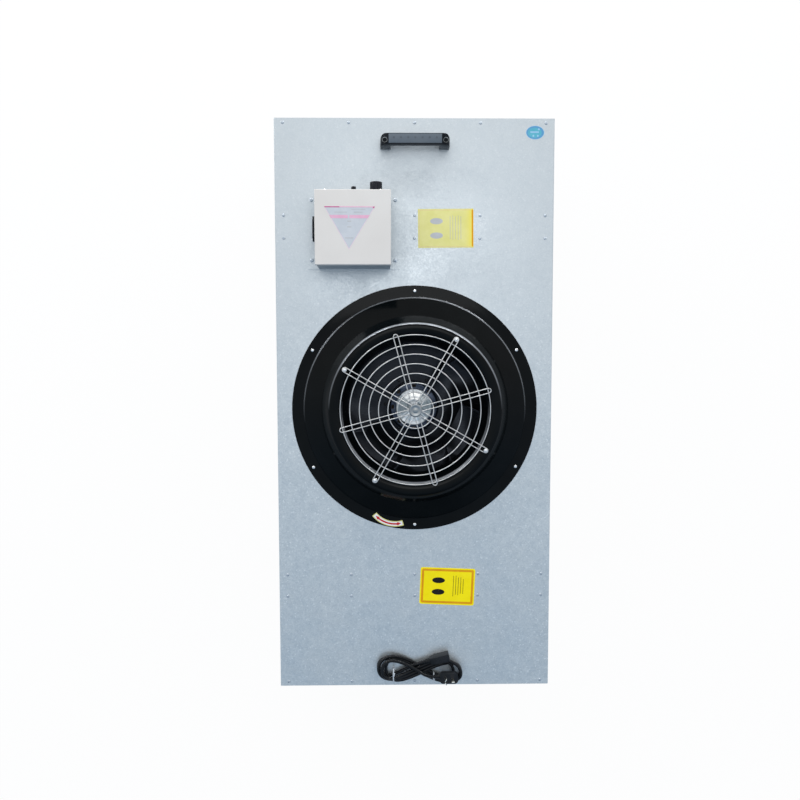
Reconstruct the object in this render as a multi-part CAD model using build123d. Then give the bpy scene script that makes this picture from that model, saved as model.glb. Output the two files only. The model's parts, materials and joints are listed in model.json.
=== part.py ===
# Fan filter unit for a clean-room ceiling grid, lying flat with its air inlet upwards.
# Millimetres. The origin is the centre of the underside, +Y the long way, +Z up to the inlet.
import os
from math import cos, radians, sin, tan

from build123d import *

# Whole unit
width, length = 570.0, 1180.0
filter_height, gasket_height, casing_height = 69.0, 5.0, 246.0
sheet = 1.2
casing_base = filter_height + gasket_height
roof = casing_base + casing_height
under_roof = roof - sheet
bend = 2.4

# Inlet ring, wire guard and what drives the air, all round the Z axis
ring_radius, ring_sheet = 254.0, 1.5
ring_top = roof + 43.0
throat_radius, eye_radius = 149.0, 138.0
throat_end = 284.0
ring_screw_radius = 243.0
guard_wire, spoke_wire, spoke_gap = 3.0, 2.5, 9.5
guard_radii = [36.8, 55.6, 74.6, 94.0, 113.3, 132.7, 152.2]
spoke_plane = ring_top + spoke_wire / 2
guard_screw_radius = 164.0
short_spoke_end = 158.0
impeller_radius, back_plate_z, blade_count = 200.0, 178.0, 7
rotor_radius, rotor_top = 54.0, 264.0

# Baffles and the plate that carries the motor
baffle_y, rivet_pitch_y, rivet_pitch_x = 373.0, 46.0, 133.6
end_rivet_y = 581.0
plate_z, plate_sheet = 153.5, 1.5

# Control box on the roof
box_x, box_y = (-196.5, -48.5), (286.5, 430.5)
box_front = roof + 80.0
box_sheet = 1.2
box_plate_x, box_plate_y = (-218.0, -32.0), (286.5, 436.0)
box_screw_x, box_screw_y = (-210.0, -39.8), (305.0, 426.5)
fitting_z = 360.0
knob_x, fuse_x, inlet_y = -78.0, -122.5, 361.0
inlet_flange = 8.6

# Handle
handle_x, handle_y = 69.5, (527.5, 549.5)
handle_height, grip_depth = 38.0, 12.0

# Supply cord, tied in a hank on the roof
hank_height, plug_height = 20.0, 14.0
connector_angle = 14.0


def block(x, y, z):
    """A box between a low and a high value on each axis."""
    size = [high - low for low, high in (x, y, z)]
    middle = [(high + low) / 2 for low, high in (x, y, z)]
    return Pos(*middle) * Box(*size)


def rod(radius, z, x=0.0, y=0.0):
    """An upright cylinder between two heights."""
    return Pos(x, y, (z[0] + z[1]) / 2) * Cylinder(radius, z[1] - z[0])


def folded(line, thickness, side=Side.LEFT, kind=Kind.INTERSECTION):
    """The section of a sheet whose outer skin follows the line, with the metal on the side given."""
    outline = Wire(line.edges()).offset_2d(thickness, kind=kind, side=side, closed=True)
    return make_face(outline.edges())


def turned(face):
    """Turns a section drawn as (radius, height) about the Z axis."""
    return revolve(Plane.XZ * face, axis=Axis.Z)


def on_circle(piece, radius, count, first_angle=0.0):
    """Copies a piece made at the origin to places on a circle about Z."""
    return [
        Rot(0, 0, first_angle + 360.0 * n / count) * Pos(radius, 0, 0) * piece for n in range(count)
    ]


def faceted(radius, z, sides=8, taper=0.0):
    """An upright prism with few faces, for small fasteners and wires."""
    return Pos(0, 0, z[0]) * extrude(RegularPolygon(radius, sides), z[1] - z[0], taper=taper)


def pan_screw(head_radius, head_height, shank_radius, shank_length):
    """A low-headed screw with the underside of its head at the origin, pointing down."""
    return faceted(head_radius, (0, head_height), taper=28) + faceted(shank_radius, (-shank_length, 0))


def rivet_head():
    """The low head of a blind rivet, seated at the origin."""
    return faceted(3.1, (0, 1.4), taper=42)


# Casing ------------------------------------------------------------------------------------------

def casing_shell():
    """Roof and long sides folded from one sheet, with a flange turned in along the bottom."""
    flange = 20.0
    half = width / 2
    outside = FilletPolyline((-half + flange, casing_base), (-half, casing_base), (-half, roof),
                             (half, roof), (half, casing_base), (half - flange, casing_base),
                             radius=[bend] * 4)
    section = folded(outside, sheet, Side.RIGHT, Kind.ARC)
    shell = extrude(Plane.XZ * section, length / 2, both=True)
    for end in (-1, 1):
        notch = sorted((end * (length / 2 - flange - 1), end * (length / 2 + 1)))
        shell -= block((-half + sheet, half - sheet), notch, (casing_base - 1, casing_base + bend + 1))
    shell -= rod(ring_radius - 18, (under_roof - 1, roof + 1))
    for x, y, radius in roof_holes():
        shell -= rod(radius, (under_roof - 1, roof + 1), x, y)
    return shell


def roof_holes():
    """Every hole through the roof besides the inlet, as (x, y, radius)."""
    holes = [(x, y, 2.1) for x in box_screw_x for y in box_screw_y]
    holes += [(x, y, 2.6) for x, y in handle_screw_places()]
    for n in range(6):
        angle = radians(30 + 60 * n)
        holes.append((ring_screw_radius * cos(angle), ring_screw_radius * sin(angle), 2.6))
    holes.append((*lead_exit(), 6.0))
    return holes


def end_plate(side):
    """A shallow folded tray that closes one end of the casing, flanges inwards."""
    flange = 20.0
    gap = 0.1
    half_x = width / 2 - sheet - gap
    faces = sorted((side * (length / 2 - flange), side * length / 2))
    inner = sorted((side * (length / 2 - flange - 1), side * (length / 2 - sheet)))
    tray = block((-half_x, half_x), faces, (casing_base, under_roof))
    tray = fillet(tray.edges().filter_by(Axis.Y), bend)
    return tray - block((-half_x + sheet, half_x - sheet), inner,
                        (casing_base + sheet, under_roof - sheet))


def roof_rivets():
    """Rivet heads in rows across the roof: along both ends and over both baffles."""
    rows = [side * y for side in (-1, 1)
            for y in (end_rivet_y, baffle_y + rivet_pitch_y / 2, baffle_y - rivet_pitch_y / 2)]
    places = [(column * rivet_pitch_x, y) for y in rows for column in range(-2, 3)]
    return [Pos(x, y, roof) * rivet_head() for x, y in places if not under_box(x, y)]


def under_box(x, y):
    return box_plate_x[0] < x < box_plate_x[1] and box_plate_y[0] < y < box_plate_y[1]


def baffle(side):
    """A hat-section cross member: two flanges under the roof, two webs, a flat foot below."""
    web, foot, reach = 13.0, plate_z + plate_sheet + sheet, 31.0
    half_x = width / 2 - sheet - 4.0
    line = Polyline((-reach, under_roof), (-web, under_roof), (-web, foot), (web, foot),
                    (web, under_roof), (reach, under_roof))
    hat = extrude(Plane.YZ * folded(line, sheet, Side.RIGHT), half_x, both=True)
    placed = Pos(0, side * baffle_y, 0) * hat
    return placed


# Inlet ring and guard ----------------------------------------------------------------------------

def inlet_ring():
    """Spun bell-mouth: flat flange, small step, rising cone, round shoulder, level lip, throat."""
    flange_top = roof + ring_sheet
    line = Polyline(
        (ring_radius, flange_top), (229.5, flange_top), (228, flange_top + 3.5), (191, roof + 21),
        (179.5, roof + 36), (172, ring_top), (161, ring_top), (152.5, ring_top - 4),
        (throat_radius, ring_top - 12), (eye_radius, throat_end + 22), (eye_radius, throat_end))
    ring = turned(folded(line, ring_sheet))
    for hole in on_circle(rod(2.6, (roof - 1, flange_top + 1)), ring_screw_radius, 6, 30):
        ring -= hole
    for hole in on_circle(rod(2.1, (ring_top - 4, ring_top + 1)), guard_screw_radius, 4, 60):
        ring -= hole
    return ring


def ring_screws():
    screw = Pos(0, 0, roof + ring_sheet) * pan_screw(4.2, 2.8, 2.5, 12)
    return on_circle(screw, ring_screw_radius, 6, 30)


def wire_section(size):
    """Round wire drawn with six flats, one facing up and one down."""
    return RegularPolygon(size / 2, 6, major_radius=False)


def guard_rings():
    """Seven wire hoops that lie under the spokes."""
    height = ring_top - guard_wire / 2
    return [turned(Pos(radius, height) * wire_section(guard_wire)) for radius in guard_radii]


def guard_spoke(outer_centre):
    """A hairpin: two parallel wires joined by a half turn at the outer end."""
    inner = spoke_gap / 2 / tan(radians(22.5)) + 1.0
    half = spoke_gap / 2
    arc = ThreePointArc((outer_centre, -half), (outer_centre + half, 0), (outer_centre, half))
    path = Line((inner, -half), (outer_centre, -half)) + arc + Line((outer_centre, half), (inner, half))
    start = Plane(origin=(inner, -half, 0), x_dir=(0, 1, 0), z_dir=(1, 0, 0))
    return sweep(start * wire_section(spoke_wire), path=path.wires()[0])


def guard_spokes():
    """Eight hairpins; every second one reaches out to a screw on the ring's lip."""
    spokes = []
    for n in range(8):
        angle = 15 + 45 * n
        reaches_screw = angle % 90 == 60
        end = guard_screw_radius if reaches_screw else short_spoke_end - spoke_gap / 2 - spoke_wire / 2
        spokes.append(Rot(0, 0, angle) * Pos(0, 0, spoke_plane) * guard_spoke(end))
    return spokes


def guard_button():
    """The dished button that closes the middle of the guard, seated on the spokes' inner ends."""
    base = spoke_plane + spoke_wire / 2
    section = Polyline((0, 1.2), (0, 0), (13.5, 0), (13.5, 1.6), (11.5, 3.2), (6, 1.7), (0, 1.2))
    return Pos(0, 0, base) * turned(make_face(section.edges()))


def guard_screws():
    """Washer-headed screws that hold the four long spokes down."""
    base = spoke_plane + spoke_wire / 2
    screw = faceted(6.3, (0, 1.0)) + Pos(0, 0, 1.0) * pan_screw(4.0, 2.6, 2.0, 12)
    return on_circle(Pos(0, 0, base) * screw, guard_screw_radius, 4, 60)


# Motor and impeller ------------------------------------------------------------------------------

def motor_plate():
    """A folded tray bolted under both baffles, with its lips turned down."""
    half_x, lip = 120.0, 14.0
    half_y = baffle_y + 13.0
    top = plate_z + plate_sheet
    line = Polyline((-half_x, plate_z - lip), (-half_x, top), (half_x, top), (half_x, plate_z - lip))
    return extrude(Plane.XZ * folded(line, plate_sheet, Side.RIGHT), half_y, both=True)


def hex_head(across, height):
    """A hexagon bolt head hanging below the origin."""
    return extrude(RegularPolygon(across / 2, 6, major_radius=False), -height)


def motor_plate_bolts():
    """Bolt heads under the plate's ends, below the baffles' feet."""
    return [Pos(x, y, plate_z) * hex_head(10, 4) for x in (-95, 95) for y in (-baffle_y, baffle_y)]


def motor_stator():
    """Flange on the motor plate and the hollow post that holds the windings and bearings."""
    top = plate_z + plate_sheet
    flange = rod(62, (top, top + 10)) + rod(15, (top + 10, 246)) - rod(11, (top - 1, 247))
    lead_slot = block((-4.2, 4.2), (40, 70), (top - 1, top + 7.4))
    return flange - Rot(0, 0, lead_bearing()) * lead_slot


def stator_bolts():
    return on_circle(Pos(0, 0, plate_z) * hex_head(10, 4), 52, 4, 45)


def stator_core():
    """Laminations and windings on the post, just clear of the rotor."""
    pack = rod(48.8, (188, 236)) - rod(15, (187, 237))
    return pack + (rod(42, (180, 244)) - rod(15, (179, 245)))


def motor_bearings():
    """Two ball bearings in the post."""
    ring = rod(11, (0, 9)) - rod(6.05, (-1, 10))
    return [Pos(0, 0, height) * ring for height in (170, 235)]


def rotor_shaft():
    return rod(6, (166, 260))


def rotor_shell():
    """The outer rotor: a deep cup over the windings, with slots round its crown and a foot flange."""
    wall = 4.0
    section = Polyline((68, back_plate_z - 2), (68, back_plate_z), (rotor_radius, back_plate_z),
                       (rotor_radius, rotor_top - 5), (rotor_radius - 5, rotor_top), (0, rotor_top),
                       (0, rotor_top - wall), (rotor_radius - wall - 3, rotor_top - wall),
                       (rotor_radius - wall, rotor_top - wall - 3), (rotor_radius - wall, back_plate_z - 2),
                       close=True)
    cup = turned(make_face(section.edges()))
    for slot in on_circle(block((-3, 3), (-4.5, 4.5), (rotor_top - wall - 1, rotor_top + 1)), 45.5, 8):
        cup -= slot
    return cup


def bearing_cap():
    """The bright turned disc on the rotor's crown."""
    section = Polyline((0, 0), (39.5, 0), (39.5, 3.5), (38, 5), (14, 5), (12, 3.8), (0, 3.8), (0, 0))
    return Pos(0, 0, rotor_top) * turned(make_face(section.edges()))


def blade():
    """One backward-curved blade, drawn in plan and left taller than the passage."""
    lead, tail, sweep_back = 112.0, 197.0, 40.0
    start = Vector(lead, 0)
    end = Vector(tail, 0).rotate(Axis.Z, -sweep_back)
    middle = Vector(158, 0).rotate(Axis.Z, -13)
    outer_middle = Vector(180, 0).rotate(Axis.Z, -25.5)
    inner_middle = Vector(135, 0).rotate(Axis.Z, -4)
    line = Polyline(start, inner_middle, middle, outer_middle, end)
    return Pos(0, 0, back_plate_z) * extrude(folded(line, 2.2), 120)


def impeller():
    """Back plate, backward-curved blades and flared shroud as one riveted and welded wheel."""
    skin = 1.6
    eye = 142.5
    flare = Polyline((eye, 291), (eye, 276), (148, 268), (160, 261), (impeller_radius, 249))
    shroud = turned(folded(flare, skin))
    plate = rod(impeller_radius, (back_plate_z, back_plate_z + 2)) - rod(
        rotor_radius + 0.3, (back_plate_z - 1, back_plate_z + 3))
    under_flare = flare.edges() + Polyline((impeller_radius, 249), (impeller_radius, back_plate_z + 1),
                                           (0, back_plate_z + 1), (0, 282), (eye, 291)).edges()
    passage = turned(make_face(under_flare))
    trimmed = blade() & passage & rod(impeller_radius, (back_plate_z, throat_end - 3))
    wheel = plate + shroud
    for n in range(blade_count):
        wheel += Rot(0, 0, 360.0 * n / blade_count) * trimmed
    return wheel


def impeller_bolts():
    head = faceted(3.8, (back_plate_z + 2, back_plate_z + 4.6), taper=28)
    return on_circle(head, 62, 6)


def lead_bearing():
    """The direction, in degrees from +Y, in which the motor lead leaves the motor."""
    return 17.0


def lead_exit():
    """Where the motor lead passes up through the roof into the control box."""
    return (-100.0, 330.0)


def motor_lead():
    """The motor's own lead, clipped flat along the plate and then up into the control box."""
    radius = 3.5
    height = plate_z + plate_sheet + radius + 0.2
    angle = radians(lead_bearing())
    start = (-56 * sin(angle), 56 * cos(angle), height)
    x, y = lead_exit()
    route = [start, (-44, 150, height), (-78, 262, height), (x, y, height), (x, y, 332)]
    line = FilletPolyline(*route, radius=[60, 60, 20])
    round_wire = RegularPolygon(radius, 8)
    return sweep(Plane(origin=start, z_dir=(line % 0)) * round_wire, path=line.wires()[0])


def lead_grommet():
    """A rubber bush round the lead where it passes the roof and the box's back plate."""
    x, y = lead_exit()
    bush = rod(6.0, (under_roof - 2.5, roof + 4), x, y) + rod(9, (under_roof - 2.5, under_roof), x, y)
    bush += rod(9, (roof + 2 * box_sheet, roof + 4 + box_sheet), x, y)
    return bush - rod(3.5, (under_roof - 4, roof + 8), x, y)


# Control box -------------------------------------------------------------------------------------

def box_mounting_plate():
    """The plate under the control box, reaching out each side for its screws."""
    plate = block(box_plate_x, box_plate_y, (roof, roof + box_sheet))
    for x in box_screw_x:
        for y in box_screw_y:
            plate -= rod(2.1, (roof - 1, roof + 3), x, y)
    return plate - rod(6.0, (roof - 1, roof + 3), *lead_exit())


def box_plate_screws():
    screw = Pos(0, 0, roof + box_sheet) * pan_screw(4.0, 2.6, 2.0, 12)
    return [Pos(x, y, 0) * screw for x in box_screw_x for y in box_screw_y]


def inner_box_x():
    return (box_x[0] + box_sheet + 0.2, box_x[1] - box_sheet - 0.2)


def inner_box_y():
    return (box_y[0] + box_sheet + 0.2, box_y[1] - box_sheet - 0.2)


def control_box_body():
    """Open-fronted box with holes in two walls for the fittings."""
    base = roof + box_sheet
    x, y = inner_box_x(), inner_box_y()
    body = block(x, y, (base, box_front - box_sheet - 0.2))
    body -= block((x[0] + box_sheet, x[1] - box_sheet), (y[0] + box_sheet, y[1] - box_sheet),
                  (base + box_sheet, box_front))
    body -= rod(6.0, (base - 1, base + 3), *lead_exit())
    body -= Pos(knob_x, y[1], fitting_z) * Rot(90, 0, 0) * Cylinder(4.0, 8)
    body -= Pos(fuse_x, y[1], fitting_z) * Rot(90, 0, 0) * Cylinder(6.0, 8)
    body -= block((x[0] - 1, x[0] + 3), (inlet_y - 14, inlet_y + 14), (fitting_z - 10.5, fitting_z + 10.5))
    for offset in (-20, 20):
        body -= Pos(x[0], inlet_y + offset, fitting_z) * Rot(0, 90, 0) * Cylinder(1.6, 8)
    for hole_x in lid_screw_x():
        body -= Pos(hole_x, y[1], box_front - 6) * Rot(90, 0, 0) * Cylinder(1.6, 8)
    return body


def lid_screw_x():
    return (box_x[0] + 20, box_x[1] - 20)


def control_box_lid():
    """Front plate with a short rim folded back over the body."""
    rim = 12.0
    lid = block(box_x, box_y, (box_front - rim, box_front))
    lid = fillet(lid.edges().group_by(Axis.Z)[-1], 1.6)
    lid -= block((box_x[0] + box_sheet, box_x[1] - box_sheet), (box_y[0] + box_sheet, box_y[1] - box_sheet),
                 (box_front - rim - 1, box_front - box_sheet))
    for x in lid_screw_x():
        lid -= Pos(x, box_y[1], box_front - 6) * Rot(90, 0, 0) * Cylinder(1.6, 8)
    return lid


def lid_screws():
    screw = Rot(-90, 0, 0) * pan_screw(2.8, 1.8, 1.5, 6)
    return [Pos(x, box_y[1], box_front - 6) * screw for x in lid_screw_x()]


def facing_up_box(piece):
    """Places a piece made along +Z so that it points along +Y from the box's upper wall."""
    return Pos(0, inner_box_y()[1], 0) * Rot(-90, 0, 0) * piece


def speed_regulator():
    """Potentiometer body behind the wall with its bushing through it."""
    body = Pos(0, 0, -box_sheet - 7) * Box(26, 30, 14) + rod(4.0, (-box_sheet, 6))
    body -= rod(3.05, (-5, 7))
    return Pos(knob_x, inner_box_y()[1], fitting_z) * Rot(-90, 0, 0) * body


def regulator_nut():
    nut = extrude(RegularPolygon(6, 6, major_radius=False), 2.4) - rod(4.0, (-1, 3))
    return Pos(knob_x, inner_box_y()[1], fitting_z) * Rot(-90, 0, 0) * nut


def knob_shaft():
    shaft = rod(3.0, (-4, 16))
    return Pos(knob_x, inner_box_y()[1], fitting_z) * Rot(-90, 0, 0) * shaft


def speed_knob():
    """Ribbed knob, hollow behind so that it clears the nut, with a pointer line on its end."""
    ribs, outer, depth, base, tip = 18, 12.0, 0.8, 4.2, 23.5
    corners = []
    for n in range(ribs * 2):
        radius = outer if n % 2 == 0 else outer - depth
        for edge in (-0.32, 0.32):
            angle = radians(180.0 * (n + edge) / ribs)
            corners.append((radius * cos(angle), radius * sin(angle)))
    knob = Pos(0, 0, base) * extrude(make_face(Polyline(*corners, close=True).edges()), tip - base)
    knob -= rod(8.5, (base - 1, base + 4))
    knob -= rod(3.0, (base, 16))
    knob -= block((-0.7, 0.7), (3, 13), (tip - 0.8, tip + 1))
    return Pos(knob_x, inner_box_y()[1], fitting_z) * Rot(-90, 0, 0) * knob


def fuse_holder():
    """Panel fuse holder: body behind the wall, flange and cap in front."""
    shape = rod(6.0, (-30, 0)) + rod(7.5, (0, 2.2)) + Pos(0, 0, 8.6) * Cone(5.6, 4.6, 12.8)
    shape -= block((-6, 6), (-0.6, 0.6), (14, 16))
    return Pos(fuse_x, inner_box_y()[1], fitting_z) * Rot(-90, 0, 0) * shape


def inlet_place():
    """Local frame of the appliance inlet: +Z out of the box's -X wall, local X along the unit."""
    return Pos(inner_box_x()[0], inlet_y, fitting_z) * Rot(0, -90, 0) * Rot(0, 0, 90)


def iec_inlet():
    """Three-pin appliance inlet: a flange with tapered ends and a hollow body with a chamfered key."""
    flange = make_face(Polyline((-24.5, -5), (-16, -11.5), (16, -11.5), (24.5, -5), (24.5, 5),
                                (16, 11.5), (-16, 11.5), (-24.5, 5), close=True).edges())
    body = block((-13.6, 13.6), (-10, 10), (-22, 0)) + extrude(flange, inlet_flange)
    cavity = make_face(Polyline((-12.3, -8.2), (12.3, -8.2), (12.3, 3.5), (7.6, 8.2), (-7.6, 8.2),
                                (-12.3, 3.5), close=True).edges())
    body -= Pos(0, 0, -12.0) * extrude(cavity, 13 + inlet_flange)
    for x in (-20, 20):
        body -= rod(1.6, (-1, inlet_flange + 1), x)
    return inlet_place() * body


def inlet_pins():
    """Three flat pins standing in the inlet's hollow, with tails out of its back."""
    pin = block((-1, 1), (-2, 2), (-12, 2))
    return [inlet_place() * Pos(x, y, 0) * pin for x, y in ((-7, -2), (7, -2), (0, 2))]


def inlet_screws():
    screw = pan_screw(2.8, 1.6, 1.5, 10)
    return [inlet_place() * Pos(x, 0, inlet_flange) * screw for x in (-20, 20)]


def run_capacitor():
    """Motor run capacitor lying on the floor of the box."""
    can = Pos(-150, 318, roof + 2 * box_sheet + 15) * Rot(0, 90, 0) * Cylinder(15, 62)
    flat = block((-182, -118), (304, 332), (roof + 2 * box_sheet, roof + 2 * box_sheet + 3))
    return can + flat


def terminal_block():
    """Screw terminals: a bar with six towers."""
    base = roof + 2 * box_sheet
    bar = block((-176, -106), (352, 370), (base, base + 12))
    for n in range(6):
        x = -170 + 11.6 * n
        bar += block((x - 4, x + 4), (356, 366), (base + 12, base + 17))
    return bar


# Handle ------------------------------------------------------------------------------------------

def handle_screw_places():
    y = (handle_y[0] + handle_y[1]) / 2
    return [(side * (handle_x - 9), y) for side in (-1, 1)]


def handle():
    """Moulded bridge handle: two feet with screw wells, rounded outer shoulders and a broad grip."""
    foot, leg = 20.5, 17.0
    top = roof + handle_height
    outer = FilletPolyline((-handle_x, roof), (-handle_x, top), (handle_x, top), (handle_x, roof),
                           radius=[11, 11])
    inner_x = handle_x - foot
    inner = FilletPolyline((handle_x, roof), (inner_x, roof), (inner_x, top - grip_depth),
                           (-inner_x, top - grip_depth), (-inner_x, roof), (-handle_x, roof),
                           radius=[0, 5, 5, 0])
    bridge = make_face(outer.edges() + inner.edges())
    middle = (handle_y[0] + handle_y[1]) / 2
    shape = Pos(0, middle, 0) * extrude(Plane.XZ * bridge, (handle_y[1] - handle_y[0]) / 2, both=True)
    long_edges = [edge for edge in shape.edges().filter_by(Axis.X)
                  if edge.length > handle_x]
    shape = chamfer(long_edges, 2.2)
    for x, y in handle_screw_places():
        shape -= rod(2.6, (roof - 1, top + 1), x, y)
        shape -= rod(leg / 2 - 3.5, (roof + 12, top + 1), x, y)
    return shape


def handle_screws():
    screw = Pos(0, 0, roof + 12) * pan_screw(4.6, 3.0, 2.5, 22)
    return [Pos(x, y, 0) * screw for x, y in handle_screw_places()]


# Filter ------------------------------------------------------------------------------------------

def frame_bar(bar_length):
    """One mitred length of channel: a web outside with a flange turned in above and below."""
    web, flange, depth = 1.6, 22.0, filter_height
    line = Polyline((flange, 0), (0, 0), (0, depth), (flange, depth))
    bar = extrude(Plane.XZ * folded(line, web, Side.RIGHT), bar_length / 2, both=True)
    half = bar_length / 2
    mitre = make_face(Polyline((0, -half), (flange + 2, -half + flange + 2),
                               (flange + 2, half - flange - 2), (0, half), close=True).edges())
    return bar & extrude(mitre, depth)


def filter_frame():
    """Four mitred aluminium channels round the filter."""
    long_bar, short_bar = frame_bar(length), frame_bar(width)
    return [
        Pos(-width / 2, 0, 0) * long_bar,
        Rot(0, 0, 180) * Pos(-width / 2, 0, 0) * long_bar,
        Rot(0, 0, 90) * Pos(-length / 2, 0, 0) * short_bar,
        Rot(0, 0, -90) * Pos(-length / 2, 0, 0) * short_bar,
    ]


def filter_media():
    """The pleated pack, held between the frame's webs and standing on the outlet guard."""
    gap = 1.6
    half_x, half_y = width / 2 - gap, length / 2 - gap
    pleats, low, high, depth = 44, 3.1, 62.0, 9.0
    pitch = 2 * half_x / pleats
    upper = [(-half_x + pitch * n / 2, high - depth * (n % 2)) for n in range(2 * pleats + 1)]
    lower = [(x, z - high + low + depth) for x, z in reversed(upper)]
    section = make_face(Polyline(*upper, *lower, close=True).edges())
    return extrude(Plane.XZ * section, half_y, both=True)


def filter_guard():
    """The open face plate under the pleats, resting on the frame's lower flanges."""
    gap, thickness, columns, rows, bar = 1.6, 1.5, 4, 9, 8.0
    half_x, half_y = width / 2 - gap, length / 2 - gap
    plate = block((-half_x, half_x), (-half_y, half_y), (gap, gap + thickness))
    clear_x, clear_y = half_x - 24, half_y - 24
    pitch_x, pitch_y = 2 * clear_x / columns, 2 * clear_y / rows
    window = Box(pitch_x - bar, pitch_y - bar, 20)
    return plate - GridLocations(pitch_x, pitch_y, columns, rows) * window


def filter_gasket():
    """Foam gasket between the filter frame and the casing."""
    inner_x, inner_y = width / 2 - 18, length / 2 - 18
    height = (filter_height, casing_base)
    ring = block((-width / 2, width / 2), (-length / 2, length / 2), height)
    return ring - block((-inner_x, inner_x), (-inner_y, inner_y), (filter_height - 1, casing_base + 1))


def strap_places():
    """The fixing straps round the joint, each as (distance from the middle, turn about Z)."""
    sides = [(width / 2, along, turn) for turn in (0, 180) for along in (-400, 0, 400)]
    ends = [(length / 2, 0, turn) for turn in (90, 270)]
    return sides + ends


def filter_straps():
    """Flat straps that tie the filter frame to the casing."""
    strap = block((0, 1.5), (-15, 15), (40, 108))
    strap = chamfer(strap.edges().filter_by(Axis.X), 4)
    return [Rot(0, 0, turn) * Pos(out, along, 0) * strap for out, along, turn in strap_places()]


def strap_screws():
    """A hexagon screw at each end of every strap."""
    head = Rot(0, 90, 0) * extrude(RegularPolygon(3.8, 6, major_radius=False), 2.6)
    return [Rot(0, 0, turn) * Pos(out + 1.5, along, height) * head
            for out, along, turn in strap_places() for height in (52, 96)]


# Supply cord -------------------------------------------------------------------------------------

def cord_hank():
    """The outer shape of the tied hank: a loose figure of eight."""
    outline = Spline((-81, -546), (-70, -527.5), (-47, -521.5), (-20, -527), (8, -542), (38, -544.5),
                     (80, -539), (101.5, -555), (90, -574), (60, -581.5), (24, -573), (-20, -575),
                     (-50, -573), (-70, -563.5), periodic=True)
    return Pos(0, 0, roof) * extrude(make_face(outline.edges()), hank_height)


def connector_place():
    return Pos(9, -538.5, roof + 11) * Rot(0, 0, connector_angle) * Rot(0, 90, 0)


def cord_connector():
    """The cord's appliance connector with its tapered sleeve, lying on its narrow side."""
    body = loft([Plane.XY.offset(24) * RectangleRounded(13, 11, 3),
                 Plane.XY.offset(34) * RectangleRounded(21, 15.5, 3)])
    body += Pos(0, 0, 34) * extrude(RectangleRounded(21, 15.5, 3), 31)
    sleeve = Pos(0, 0, 12) * Cone(3.6, 5.4, 24)
    holes = [Pos(x, y, 60) * Box(4.6, 2.4, 12) for x, y in ((-5.5, 1.5), (5.5, 1.5), (0, -2))]
    body += sleeve
    for hole in holes:
        body -= hole
    return connector_place() * body


def plug_place():
    return Pos(70.5, -562, roof + hank_height)


def cord_plug():
    """The wall plug, lying on the hank with its pins up."""
    body = extrude(RectangleRounded(38, 22, 7), plug_height)
    body = chamfer(body.edges().group_by(Axis.Z)[-1], 2)
    sleeve = Pos(-26, 2, 7) * Rot(0, 90, 0) * Cone(3.6, 5.6, 18)
    return plug_place() * (body + sleeve)


def plug_pins():
    """Two slanted blades and an upright one."""
    pin = Box(1.6, 6.4, 18, align=(Align.CENTER, Align.CENTER, Align.MIN))
    places = ((-8, -3, 30), (-8, 4, -30), (7, 0, 90))
    return [plug_place() * Pos(x, y, plug_height) * Rot(0, 0, turn) * pin for x, y, turn in places]


def cord_ties():
    """Two twist ties round the hank."""
    ties = []
    for x, low, high in ((-45, -575.5, -546), (39.5, -579, -560)):
        band = block((x - 1.5, x + 1.5), (low, high), (roof, roof + hank_height + 1.2))
        band -= block((x - 2, x + 2), (low + 1.2, high - 1.2), (roof + 1.2, roof + hank_height))
        ties.append(band)
    return ties


nodes = {
    "casing_shell": casing_shell,
    "end_plate_top": lambda: end_plate(1),
    "end_plate_bottom": lambda: end_plate(-1),
    "roof_rivets": roof_rivets,
    "baffle_top": lambda: baffle(1),
    "baffle_bottom": lambda: baffle(-1),
    "inlet_ring": inlet_ring,
    "ring_screws": ring_screws,
    "guard_rings": guard_rings,
    "guard_spokes": guard_spokes,
    "guard_button": guard_button,
    "guard_screws": guard_screws,
    "motor_plate": motor_plate,
    "motor_plate_bolts": motor_plate_bolts,
    "motor_stator": motor_stator,
    "stator_bolts": stator_bolts,
    "stator_core": stator_core,
    "motor_bearings": motor_bearings,
    "rotor_shaft": rotor_shaft,
    "rotor_shell": rotor_shell,
    "bearing_cap": bearing_cap,
    "impeller": impeller,
    "impeller_bolts": impeller_bolts,
    "motor_lead": motor_lead,
    "lead_grommet": lead_grommet,
    "box_mounting_plate": box_mounting_plate,
    "box_plate_screws": box_plate_screws,
    "control_box_body": control_box_body,
    "control_box_lid": control_box_lid,
    "lid_screws": lid_screws,
    "speed_regulator": speed_regulator,
    "regulator_nut": regulator_nut,
    "knob_shaft": knob_shaft,
    "speed_knob": speed_knob,
    "fuse_holder": fuse_holder,
    "iec_inlet": iec_inlet,
    "inlet_pins": inlet_pins,
    "inlet_screws": inlet_screws,
    "run_capacitor": run_capacitor,
    "terminal_block": terminal_block,
    "handle": handle,
    "handle_screws": handle_screws,
    "filter_frame": filter_frame,
    "filter_media": filter_media,
    "filter_guard": filter_guard,
    "filter_gasket": filter_gasket,
    "filter_straps": filter_straps,
    "strap_screws": strap_screws,
    "cord_hank": cord_hank,
    "cord_connector": cord_connector,
    "cord_plug": cord_plug,
    "plug_pins": plug_pins,
    "cord_ties": cord_ties,
}

os.makedirs("parts", exist_ok=True)
for name, make in nodes.items():
    made = make()
    solids = made if isinstance(made, list) else [made]
    shape = solids[0] if len(solids) == 1 else Compound(children=[s for p in solids for s in p.solids()])
    export_step(shape, f"parts/{name}.step")
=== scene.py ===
import json
from math import atan2, cos, pi, radians, sin

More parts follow.
